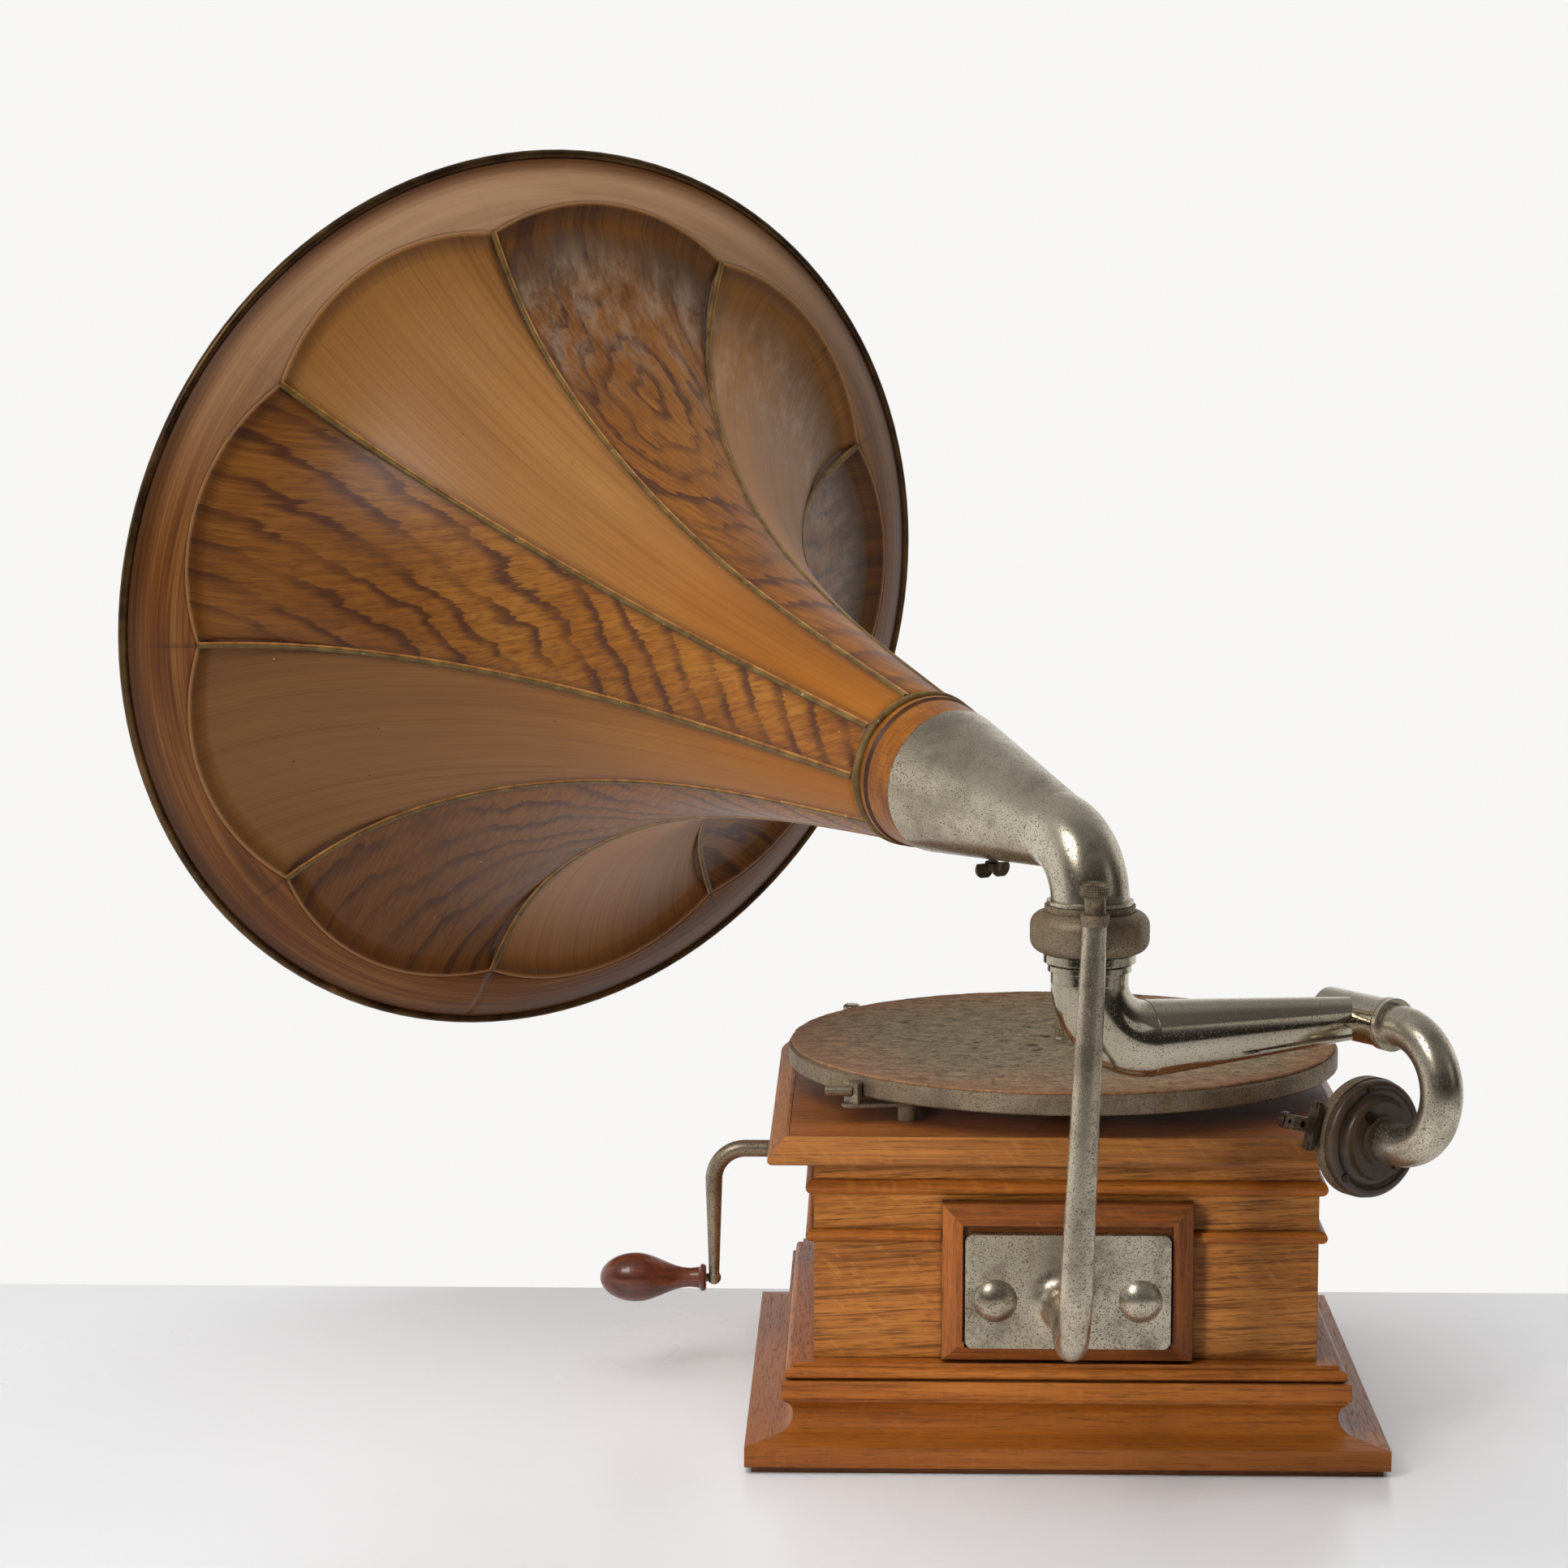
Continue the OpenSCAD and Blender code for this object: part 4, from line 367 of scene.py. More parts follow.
bright = nickel("nickel bright", 0.0, 0.12)
satin = nickel("nickel satin", 0.36, 0.27)
worn = nickel("nickel worn", 0.5, 0.24, 0.1)
browned = nickel("nickel browned", 0.5, 0.3, 0.4)
rusty = nickel("nickel rusty", 0.62, 0.42, 0.62)
wear(bright, "tone_arm", "tone_arm_retainer")
wear(satin, "horn_elbow", "gooseneck")
wear(worn, "bracket_arm", "bracket_bolts", "spindle", "regulator_knob")
wear(browned, "crank", "crank_bush", "brake_lever", "brake_post")
wear(rusty, "bracket_collar", "keeper_plate", "platter", "soundbox_ring")

# %% [markdown]
# The thumbscrew's head was knurled: two sets of slanting grooves cross on it and leave diamonds.
# In the screw's own round coordinates each set is one sine wave, so their product is the knurl.

# %% Knurled head
def knurled(name, solid, teeth, pitch, head):
    """Brown nickel with a diamond knurl on the topmost part of an upright screw."""
    low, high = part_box(solid)
    middle = (low + high) / 2
    material, tree, shader = finish(name, Metallic=0.7, Roughness=0.45)
    x, y, z = split(object_space(tree))
    turn = (y - middle.y).math("ARCTAN2", x - middle.x)
    climb = z * (math.tau / pitch)
    diamonds = (turn * teeth + climb).math("SINE") * (turn * teeth - climb).math("SINE")
    on_head = z.rise(high.z - head, high.z - head + 0.3 * MM) * (1.0 - z.rise(high.z - 0.4 * MM, high.z))
    stain = cloud(object_space(tree), 300.0, detail=4.0)
    colour = ramp(stain, (0.35, srgb(92, 76, 56)), (0.65, srgb(158, 144, 118)))
    colour = blend(diamonds.rise(0.1, -0.5) * on_head * 0.7, colour, srgb(48, 36, 26))
    give(tree, shader, Base_Color=colour)
    relief(tree, shader, diamonds * on_head, 0.3 * MM)
    return material


KNURL_TEETH, KNURL_PITCH, KNURL_HEIGHT = 18.0, 2.2 * MM, 5.5 * MM
wear(knurled("knurled screw", "thumbscrew", KNURL_TEETH, KNURL_PITCH, KNURL_HEIGHT), "thumbscrew")

# %% [markdown]
# Inside the case and the soundbox the finishes are plainer: bare steel with brush marks, yellow
# brass, cast iron under black paint, and hard rubber that has browned with age.

# %% Steel, brass, iron and rubber
def brushed(name, pale, deep, rough):
    material, tree, shader = finish(name, Metallic=1.0)
    place = object_space(tree)
    marks = cloud(stretch(place, (60.0, 1200.0, 400.0)), detail=3.0)
    stain = cloud(place, 45.0, detail=4.0)
    give(tree, shader, Base_Color=ramp(marks * 0.5 + stain * 0.5, (0.35, deep), (0.65, pale)),
         Roughness=stain * 0.3 + (rough - 0.15))
    relief(tree, shader, marks, 0.03 * MM)
    return material


def dull(name, pale, deep, rough, grain=220.0):
    material, tree, shader = finish(name)
    place = object_space(tree)
    specks = cloud(place, grain, detail=4.0, rough=0.7)
    haze = cloud(place, 30.0, detail=3.0)
    give(tree, shader, Base_Color=ramp(specks * 0.4 + haze * 0.6, (0.35, deep), (0.68, pale)),
         Roughness=haze * 0.3 + (rough - 0.15))
    relief(tree, shader, specks, 0.06 * MM)
    return material


steel = brushed("bare steel", srgb(176, 172, 164), srgb(112, 106, 98), 0.32)
brass = brushed("yellow brass", srgb(206, 168, 92), srgb(140, 102, 48), 0.3)
dark_steel = brushed("browned steel", srgb(104, 90, 74), srgb(52, 42, 34), 0.42)
iron = dull("black iron", srgb(52, 50, 48), srgb(22, 21, 20), 0.5)
rubber = dull("hard rubber", srgb(92, 72, 54), srgb(46, 35, 26), 0.3)
packing = dull("soft packing", srgb(120, 104, 90), srgb(70, 58, 48), 0.8)
mica = dull("mica sheet", srgb(196, 186, 160), srgb(150, 138, 112), 0.25, 90.0)

wear(steel, "motor_screws", "winding_arbor", "winding_pinion")
wear(brass, "spring_barrel", "intermediate_gear", "governor")
wear(dark_steel, "mainspring", "wing_screw", "needle_bar", "needle_screw", "soundbox_screws")
wear(iron, "motor_plate", "motor_base")
wear(rubber, "soundbox_back")
wear(packing, "soundbox_gaskets", "brake_pad")
wear(mica, "diaphragm")

# %% [markdown]
# The crank's handle was turned on a lathe from a reddish wood and polished by hands. Its grain runs
# along the handle, so the noise is drawn out along X, and a clear coat gives the gloss.

# %% Turned handle
def turned_wood(name):
    material, tree, shader = finish(name, Roughness=0.32, Coat_Weight=0.5, Coat_Roughness=0.12)
    stick = object_space(tree)
    fibres = cloud(stretch(stick, (24.0, 420.0, 420.0)), detail=4.0, rough=0.65)
    bands = cloud(stretch(stick, (8.0, 60.0, 60.0)), detail=2.0)
    tone = fibres * 0.55 + bands * 0.45
    colour = ramp(tone, (0.34, srgb(58, 26, 16)), (0.5, srgb(104, 52, 34)), (0.68, srgb(148, 84, 56)))
    give(tree, shader, Base_Color=colour)
    relief(tree, shader, fibres, 0.05 * MM)
    return material


wear(turned_wood("turned handle wood"), "crank_handle")

# %% [markdown]
# The horn is tin, pressed into nine petals and grained by a painter's comb. Its patterns follow the
# horn's own axis, so they need the horn's own coordinates. The throat ring and the rolled rim are
# both rings about that axis: the middles of their boxes are two points on it.

# %% The horn's own space
def middle_of(name):
    low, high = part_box(name)
    return (low + high) / 2


PETALS = 9
SEAM_TURN = math.radians(6.4)
PETAL_SWEEP = math.tau / PETALS
THROAT_S, THROAT_R = 129 * MM, 33.0 * MM
PETAL_START = 131.2 * MM
TIP_S, TIP_R = 473 * MM, 195.4 * MM
RIM_S, RIM_R = 491 * MM, 226.6 * MM

horn_axis = (middle_of("horn_rim_wire") - middle_of("throat_ring")).normalized()
horn_foot = middle_of("throat_ring") - horn_axis * THROAT_S
horn_down = (Vector((0, 0, -1)) - horn_axis * -horn_axis.z).normalized()
horn_side = horn_axis.cross(horn_down)
horn_place = Matrix((horn_down, horn_side, horn_axis)).transposed().to_4x4()
horn_place.translation = horn_foot
to_horn = horn_place.inverted()
print("horn axis", tuple(round(c, 3) for c in horn_axis))


def horn_space(tree):
    """Distance along the axis, radius, turn, petal number and place across the petal, -0.5 to 0.5."""
    x, y, along = split(feed(tree, "ShaderNodeMapping", {
        "Vector": object_space(tree), "Location": to_horn.translation,
        "Rotation": to_horn.to_euler("XYZ")}))
    radius = (x * x + y * y).math("SQRT")
    turn = y.math("ARCTAN2", x)
    share = ((turn - SEAM_TURN) / PETAL_SWEEP).math("FLOORED_MODULO", float(PETALS))
    return along, radius, turn, share.math("FLOOR"), share.math("FRACT") - 0.5


# %% [markdown]
# One formula gives the horn's outside line: a cone, a swelling bell and a sharp lip, then a curve
# that cups forward to the rolled rim. Since it uses only arithmetic and powers, the same function
# works on numbers and on values in a node tree.

# %% The horn's outside line
FLARE_CONE, FLARE_BELL, FLARE_LIP = 0.33, 0.50, 0.17
FLARE_POWER, LIP_POWER = 3.4, 20
ARCH_RISE = 10 * MM
RIM_SLOPE = 1.1
TIP_SLOPE = (TIP_R - THROAT_R) / (TIP_S - THROAT_S) * (
    FLARE_CONE + FLARE_BELL * FLARE_POWER + FLARE_LIP * LIP_POWER)
TURN_S = TIP_S + (RIM_R - TIP_R - RIM_SLOPE * (RIM_S - TIP_S)) / (TIP_SLOPE - RIM_SLOPE)
TURN_R = TIP_R + TIP_SLOPE * (TURN_S - TIP_S)
ARCH_R = TIP_R + ARCH_RISE
ARCH_D = (ARCH_R ** 2 - TIP_R ** 2) / (2 * (ARCH_R - TIP_R * math.cos(PETAL_SWEEP / 2)))
ARCH_CURVE = ARCH_R - ARCH_D


def horn_radius(s):
    u = (s - THROAT_S) / (TIP_S - THROAT_S)
    return THROAT_R + (TIP_R - THROAT_R) * (
        FLARE_CONE * u + FLARE_BELL * u ** FLARE_POWER + FLARE_LIP * u ** LIP_POWER)


def bow(start, turn, end, t):
    """Point at share t of a curve that leaves start towards turn and arrives at end from turn."""
    return (1 - t) * (1 - t) * start + 2 * t * (1 - t) * turn + t * t * end


def horn_line(w):
    """Distance and radius of the outside line: w goes from 0 at the throat over 1 to 2 at the rim."""
    lower = w.math("MINIMUM", 1.0)
    upper = (w - 1.0).math("MAXIMUM", 0.0)
    s = PETAL_START + (TIP_S - PETAL_START) * (lower * (math.pi / 2)).math("SINE")
    radius = horn_radius(s) + bow(TIP_R, TURN_R, RIM_R, upper) - TIP_R
    return s + bow(TIP_S, TURN_S, RIM_S, upper) - TIP_S, radius


def arch_reach(across):
    """Radius at which a petal's arch lies, at an angle from the petal's middle."""
    return across.math("COSINE") * ARCH_D + (
        ARCH_CURVE ** 2 - (across.math("SINE") * ARCH_D) ** 2.0).math("SQRT")


def arch_share(across):
    """Share of the rim's curve at which a petal's arch lies, and the arch's radius there."""
    reach = arch_reach(across)
    a = TIP_R - 2 * TURN_R + RIM_R
    b = 2 * (TURN_R - TIP_R)
    root = (b * b - 4 * a * (TIP_R - reach)).math("MAXIMUM", 0.0).math("SQRT")
    return ((root - b) / (2 * a)).math("MAXIMUM", 0.0), reach


print(f"arches reach radius {ARCH_R * 1000:.1f} mm of {RIM_R * 1000:.1f} mm at the rim")

# %% [markdown]
# A petal is a flat grid that Geometry Nodes bend onto the horn: one side of the grid runs from the
# throat to the arch, the other from seam to seam. Just inside its arch the tin was pressed down, so
# the sheet dips there and comes back. The rim is the same tree with other limits.

# %% Geometry Nodes: sheet on the horn
DIP = 3.2 * MM
DIP_WIDTH = 8 * MM
DIP_FADE = 70 * MM


def new_object(name, data):
    made = bpy.data.objects.new(name, data)
    bpy.context.scene.collection.objects.link(made)
    return made


def new_tree(name, **sizes):
    """An empty Geometry Nodes tree with a geometry output and named number inputs."""
    tree = bpy.data.node_groups.new(name, "GeometryNodeTree")
    tree.interface.new_socket("Geometry", in_out="OUTPUT", socket_type="NodeSocketGeometry")
    for label, value in sizes.items():
        kind = "NodeSocketInt" if isinstance(value, int) else "NodeSocketFloat"
        tree.interface.new_socket(label, in_out="INPUT", socket_type=kind).default_value = value
    source = tree.nodes.new("NodeGroupInput")
    wanted = {label: Flow(tree, source.outputs[label]) for label in sizes}
    return tree, wanted


def end_tree(tree, geometry, material):
    """Closes a tree: real faces, one material, and the output."""
    whole = feed(tree, "GeometryNodeRealizeInstances", {0: geometry})
    painted = add(tree, "GeometryNodeSetMaterial", {0: whole, "Material": material})
    out = tree.nodes.new("NodeGroupOutput")
    tree.links.new(painted.outputs[0], out.inputs[0])


def grow(name, tree, body, replaced=(), **sizes):
    """Runs a tree on an empty object and keeps its result as a plain mesh that rides on a body."""
    seed = new_object(name + "_seed", bpy.data.meshes.new(name + "_seed"))
    modifier = seed.modifiers.new("grow", "NODES")
    modifier.node_group = tree
    sockets = {s.name: s.identifier for s in tree.interface.items_tree if s.in_out == "INPUT"}
    for label, value in sizes.items():
        modifier[sockets[label]] = value
    bpy.context.view_layer.update()
    evaluated = seed.evaluated_get(bpy.context.evaluated_depsgraph_get())
    mesh = bpy.data.meshes.new_from_object(evaluated)
    seed.modifiers.remove(modifier)
    bpy.data.objects.remove(seed)
    mesh.name = name
    piece = new_object(name, mesh)
    mesh.polygons.foreach_set("use_smooth", [True] * len(mesh.polygons))
    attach(piece, body)
    if replaced:
        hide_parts(*replaced)
    print(name, "has", len(mesh.polygons), "faces")
    return piece


def thicken(piece, wall):
    made = piece.modifiers.new("wall", "SOLIDIFY")
    made.thickness = wall
    made.offset = -1
    return piece


def place_on_horn(tree, geometry, s, radius, turn):
    """Moves points to a place on the horn and sets the result in the shared frame."""
    point = combine(radius * turn.math("COSINE"), radius * turn.math("SINE"), s)
    moved = feed(tree, "GeometryNodeSetPosition", {"Geometry": geometry, "Position": point})
    return feed(tree, "GeometryNodeTransform", {
        "Geometry": moved, "Translation": horn_foot, "Rotation": horn_place.to_euler("XYZ")})


def sheet_tree(name, material, rim):
    """Tree of a petal, or of the rim outside the arches."""
    tree, size = new_tree(name, **{"First seam": 0, "Petals": 1, "Columns": 49, "Rows": 121})
    grid = feed(tree, "GeometryNodeMeshGrid", {
        "Size X": 1.0, "Size Y": 1.0, "Vertices X": size["Columns"], "Vertices Y": size["Rows"]})
    x, y, _ = split(feed(tree, "GeometryNodeInputPosition"))
    column = (x + 0.5) * size["Petals"]
    row = y + 0.5
    inner = column.math("PINGPONG", 0.5) * -1.0 + 0.5
    share, reach = arch_share(inner * PETAL_SWEEP)
    edge = share + 1.0
    w = edge + (2.0 - edge) * row if rim else edge * row
    s, radius = horn_line(w)
    gap = reach - radius
    dip = gap.rise(0.0, DIP_WIDTH) * (1.0 - gap.rise(DIP_WIDTH, DIP_FADE)) * DIP
    turn = (column + size["First seam"]) * PETAL_SWEEP + SEAM_TURN
    end_tree(tree, place_on_horn(tree, grid, s + dip, radius - dip, turn), material)
    return tree


print(f"a petal dips {DIP * 1000:.1f} mm just inside its arch")

# %% [markdown]
# Three paints cover the petals. All of them start from the same place on the petal: the distance
# along the horn, the width from the petal's middle, and how far the seam and the arch are. Painted
# shade lies beside the seams, in the dip inside each arch and on the lowest petals, a painted
# highlight runs along each arch, and the ends of the upper petals carry browning and soot, with a
# painted pale sheen below.

# %% The place on a petal
# the upper petals get soot and a painted sheen; the low petals get painted shade
UPPER_PETALS, LOW_PETALS = (4, 6), (0, 1)
FAN_POWER, FAN_RADIUS = 0.6, 100 * MM


def among(number, first, last):
    """1 on the petals from first to last, counted from 0 at the bottom, and 0 on all others."""
    return number.rise(first - 0.6, first - 0.4) * (1.0 - number.rise(last + 0.4, last + 0.6))


class Petal:
    """Coordinates of a petal in a shader tree, in metres."""

    def __init__(self, tree):
        self.along, self.radius, _, self.number, self.across = horn_space(tree)
        self.width = self.across * PETAL_SWEEP * self.radius
        self.to_seam = (0.5 - self.across.math("ABSOLUTE")) * PETAL_SWEEP * self.radius
        self.to_arch = arch_reach(self.across * PETAL_SWEEP) - self.radius
        fan = self.across * PETAL_SWEEP * self.radius ** FAN_POWER * FAN_RADIUS ** (1 - FAN_POWER)
        self.plane = combine(self.along, fan, self.number * 0.31)
        self.upper = among(self.number, *UPPER_PETALS)
        self.low = among(self.number, *LOW_PETALS)


def varnish(name):
    return finish(name, Coat_Weight=0.06, Coat_Roughness=0.2, Specular_IOR_Level=0.25)


def dust(plane, colour):
    """Small chips of bare primer and dark fly spots."""
    near, pick = spots(plane, 170.0)
    dots = 1.0 - near.rise(0.04, 0.09)
    colour = blend(dots * pick.rise(0.965, 0.975), colour, srgb(206, 184, 156))
    return blend(dots * (1.0 - pick.rise(0.05, 0.06)) * 0.8, colour, srgb(58, 38, 26))


def smoke_and_sheen(petal, colour, smoke):
    """Browning and soot at the ends of the upper petals, and a painted pale sheen below them."""
    drift = cloud(stretch(petal.plane, (16.0, 26.0, 1.0)), detail=6.0, rough=0.66)
    end = 1.0 - petal.to_arch.rise(6 * MM, 84 * MM)
    reach = end * (petal.upper * 0.75 + 0.25)
    colour = blend((reach + drift - 0.5).rise(0.25, 0.8) * smoke * 0.6, colour, srgb(96, 60, 34))
    band = petal.to_arch.rise(2 * MM, 20 * MM) * (1.0 - petal.to_arch.rise(26 * MM, 62 * MM))
    soot = (band * 0.7 + drift * 1.5 - 0.75).rise(0.15, 0.85) * petal.upper
    colour = blend(soot * smoke, colour, srgb(88, 71, 58))
    # painted sheen: pale broken patches below the arch on the upper petals stand for the varnish's
    # reflection
    sheen_breakup = cloud(stretch(petal.plane, (60.0, 90.0, 1.0)), detail=6.0, rough=0.7).rise(0.38, 0.7)
    sheen_band = petal.to_arch.rise(12 * MM, 34 * MM) * (1.0 - petal.to_arch.rise(46 * MM, 96 * MM))
    return blend(sheen_breakup * sheen_band * petal.upper * 0.55, colour, srgb(182, 156, 130))


def painted_shading(petal, colour):
    """Painted shade on the lowest petals, beside the seams and in the dip inside the arch, and a painted
    highlight along the arch's edge.
    """
    # painted shade: the lowest petals are darkened towards the mouth, where less light falls on them
    colour = blend(petal.low * petal.along.rise(0.2, 0.46) * 0.42, colour, srgb(86, 54, 32))
    # painted shade: a dark band beside each raised seam
    seam_shade = 1.0 - petal.to_seam.rise(1.6 * MM, 5.5 * MM)
    colour = blend(seam_shade * 0.45, colour, srgb(74, 44, 30))
    # painted shade: a dark line in the pressed dip just inside the arch
    arch_hollow_shade = petal.to_arch.rise(1.6 * MM, 2.6 * MM) * (1.0 - petal.to_arch.rise(3 * MM, 9 * MM))
    colour = blend(arch_hollow_shade * 0.4, colour, srgb(70, 42, 24))
    # painted highlight: a pale line along the arch's edge, where the pressed shoulder would catch light
    edge = 1.0 - petal.to_arch.rise(0.8 * MM, 1.8 * MM)
    return blend(edge * 0.65, colour, srgb(184, 138, 94))


# real dust, browning and soot, together with painted shade, a painted highlight and a painted sheen
def aged_and_shaded(petal, colour, smoke):
    return dust(petal.plane, painted_shading(petal, smoke_and_sheen(petal, colour, smoke)))


print("paints know their place on a petal")

# %% [markdown]
# Plain petals were drawn over with a fine comb, so their lines run along the petal and fan out
# towards the mouth. The colour is a warm orange near the throat and browner near the mouth.

# %% Combed paint
def plain_tin():
    material, tree, shader = varnish("plain petal paint")
    petal = Petal(tree)
    comb = cloud(stretch(petal.plane, (4.0, 1000.0, 1.0)), detail=2.0, rough=0.5, distort=0.15)
    streaks = cloud(stretch(petal.plane, (5.0, 380.0, 1.0)), detail=3.0, distort=0.1)
    bands = cloud(stretch(petal.plane, (6.0, 36.0, 1.0)), detail=3.0)
    tone = comb * 0.45 + streaks * 0.15 + bands * 0.4
    throat = ramp(tone, (0.26, srgb(124, 69, 9)), (0.5, srgb(158, 93, 15)), (0.74, srgb(180, 115, 32)))
    mouth = ramp(tone, (0.26, srgb(124, 79, 36)), (0.5, srgb(164, 111, 56)), (0.74, srgb(188, 138, 80)))
    colour = blend(petal.along.rise(0.15, 0.43), throat, mouth)
    colour = blend(comb.rise(0.56, 0.66) * 0.3, colour, srgb(112, 58, 26))
    colour = blend(streaks.rise(0.58, 0.72) * 0.22, colour, srgb(116, 60, 34))
    give(tree, shader, Base_Color=aged_and_shaded(petal, colour, 0.3), Roughness=bands * 0.25 + 0.3)
    relief(tree, shader, comb, 0.04 * MM)
    return material


plain = plain_tin()
print("combed paint:", plain.name)

# %% [markdown]
# Figured petals imitate wood cut across its rings. One number grows across the pattern, and a dark
# line is drawn wherever it passes a whole number. On striped petals it grows across slanting lines
# that straighten towards the mouth; on looped petals it is the distance from a knot. A comb dragged
# at a slant through the wet paint feathers the lines: a noise stretched along the comb's direction
# shifts them by a different amount in each tooth of the comb.

# %% Figured paint
COMB_SLANT = math.radians(27)
STRIPE_PITCH, SWING_S = 15.5 * MM, 220 * MM
LOOP_PITCH, KNOT_S = 8 * MM, 412 * MM


def stripes(petal):
    """Number that grows across slanting stripes, which swing round towards the mouth."""
    late = (petal.along - SWING_S).math("MAXIMUM", 0.0)
    slope = petal.along.rise(0.2, 0.44) * 0.24 + 0.7
    return (petal.along * 0.7 - late * late * 1.05 - petal.width * slope) / STRIPE_PITCH


def loops(petal):
    """Number that grows with the distance from a knot near the mouth."""
    ahead = (petal.along - KNOT_S) * 0.62
    return ((ahead * ahead + petal.width * petal.width).math("SQRT") / LOOP_PITCH) ** 0.8


def figured_tin(name, figure, wild, jagged):
    """Paint with a figure's dark lines, which sway (wild) and zigzag (jagged) towards the mouth."""
    material, tree, shader = varnish(name)
    petal = Petal(tree)
    drag = petal.along * math.cos(COMB_SLANT) - petal.width * math.sin(COMB_SLANT)
    tooth = petal.along * math.sin(COMB_SLANT) + petal.width * math.cos(COMB_SLANT)
    combed = combine(drag, tooth, petal.number * 0.37)
    loose = petal.along.rise(0.2, 0.36)
    sway = cloud(stretch(petal.plane, (10.0, 15.0, 3.0)), detail=2.0, rough=0.45) - 0.5
    zigzag = cloud(stretch(combed, (30.0, 75.0, 3.0)), detail=2.0, rough=0.6) - 0.5
    feather = cloud(stretch(combed, (30.0, 520.0, 3.0)), detail=3.0, rough=0.65) - 0.5
    count = figure(petal) + sway * (loose * wild + 0.5) + zigzag * (loose * jagged + 0.1)
    part = (count + feather * 0.42).math("FRACT")
    line = part.rise(0.0, 0.08) * (1.0 - part.rise(0.14, 0.5))
    kept = cloud(stretch(petal.plane, (22.0, 22.0, 5.0)), detail=3.0).rise(0.36, 0.56)
    flecks = cloud(stretch(combed, (120.0, 1000.0, 1.0)), detail=2.0).rise(0.48, 0.66)
    bands = cloud(stretch(petal.plane, (9.0, 20.0, 1.0)), detail=3.0)
    fibres = cloud(stretch(combed, (40.0, 420.0, 1.0)), detail=4.0, rough=0.65)
    tone = fibres * 0.5 + bands * 0.5
    colour = ramp(tone, (0.34, srgb(116, 66, 14)), (0.5, srgb(152, 91, 25)), (0.66, srgb(176, 115, 44)))
    colour = blend(petal.along.rise(0.3, 0.46) * 0.3, colour, srgb(112, 78, 50))
    colour = blend(flecks * 0.5, colour, srgb(98, 54, 26))
    colour = blend(line * (kept * 0.75 + 0.25) * 0.85, colour, srgb(74, 40, 28))
    give(tree, shader, Base_Color=aged_and_shaded(petal, colour, 0.7), Roughness=bands * 0.25 + 0.3)
    relief(tree, shader, fibres * 0.5 - flecks * 0.3, 0.05 * MM)
    return material


striped = figured_tin("striped petal paint", stripes, 1.3, 0.9)
looped = figured_tin("looped petal paint", loops, 1.2, 1.9)
print("figured paints:", striped.name, looped.name)

# %% [markdown]
# The rim is combed around the horn, is painted paler at the top as a sheen, and each seam ends in a dark
# mark on it.
# The seams are two raised lines side by side, one gold and one olive, with chips to the primer.

# %% Paint of the rim and the seams
def rim_tin():
    material, tree, shader = varnish("rim paint")
    along, radius, turn, _, across = horn_space(tree)
    plane = combine(turn * 0.2, radius + along * 0.6, 0.0)
    comb = cloud(stretch(plane, (6.0, 700.0, 1.0)), detail=4.0, rough=0.62, distort=0.15)
    bands = cloud(stretch(plane, (8.0, 90.0, 1.0)), detail=3.0)
    tone = comb * 0.5 + bands * 0.5
    colour = ramp(tone, (0.34, srgb(86, 46, 14)), (0.5, srgb(128, 75, 30)), (0.66, srgb(162, 109, 56)))
    edge = radius.rise(RIM_R - 12 * MM, RIM_R - 2 * MM)
    colour = blend(edge * 0.55, colour, srgb(60, 38, 24))
    to_seam = (0.5 - across.math("ABSOLUTE")) * PETAL_SWEEP * radius
    inner = 1.0 - radius.rise(TIP_R + 10 * MM, TIP_R + 26 * MM)
    seam = (1.0 - to_seam.rise(0.4 * MM, 2.0 * MM)) * inner
    colour = blend(seam * 0.4, colour, srgb(62, 40, 28))
    # painted sheen: the rim is made paler towards the top of the horn, where it would reflect light
    top_sheen = (turn.math("COSINE") * -1.0).rise(0.1, 0.95) * (1.0 - edge) * (bands * 0.6 + 0.4)
    colour = blend(top_sheen * 0.85, colour, srgb(206, 168, 132))
    give(tree, shader, Base_Color=dust(plane, colour), Roughness=bands * 0.25 + 0.28)
    relief(tree, shader, comb, 0.04 * MM)
    return material


def seam_paint(name, pale, deep):
    material, tree, shader = varnish(name)
    place = object_space(tree)
    clouds = cloud(place, 120.0, detail=4.0)
    colour = ramp(clouds, (0.35, deep), (0.65, pale))
    chips = cloud(place, 360.0, detail=4.0).rise(0.68, 0.73)
    colour = blend(chips * 0.7, colour, srgb(206, 190, 160))
    give(tree, shader, Base_Color=colour, Roughness=clouds * 0.3 + 0.28)
    relief(tree, shader, clouds, 0.06 * MM)
    return material


rim_paint = rim_tin()
seam_gold = seam_paint("seam gold", srgb(190, 132, 66), srgb(140, 86, 36))
seam_olive = seam_paint("seam olive", srgb(126, 102, 54), srgb(90, 68, 34))
petal_paints = (striped, plain, striped, plain, looped, plain, striped, looped, plain)
print("rim and seam paints:", rim_paint.name, seam_gold.name, seam_olive.name)

# %% [markdown]
# Now the trees run: once for each petal, with the petal's number as an input, and once around the
# whole horn for the rim. Each result is a plain mesh that replaces its solid and gets a wall.

# %% Petals and rim
TIN = 0.8 * MM
sheet_trees = {}
for paint in (plain, striped, looped):
    sheet_trees[paint] = sheet_tree("petal in " + paint.name, paint, rim=False)
for number, paint in enumerate(petal_paints, start=1):
    petal = grow(f"petal_{number}", sheet_trees[paint], "horn", [f"horn_petal_{number}"],
                 **{"First seam": number - 1})
    thicken(petal, TIN)
rim = grow("rim", sheet_tree("rim sheet", rim_paint, rim=True), "horn", ["horn_rim_band"],
           **{"Petals": PETALS, "Columns": PETALS * 48 + 1, "Rows": 25})
thicken(rim, TIN)

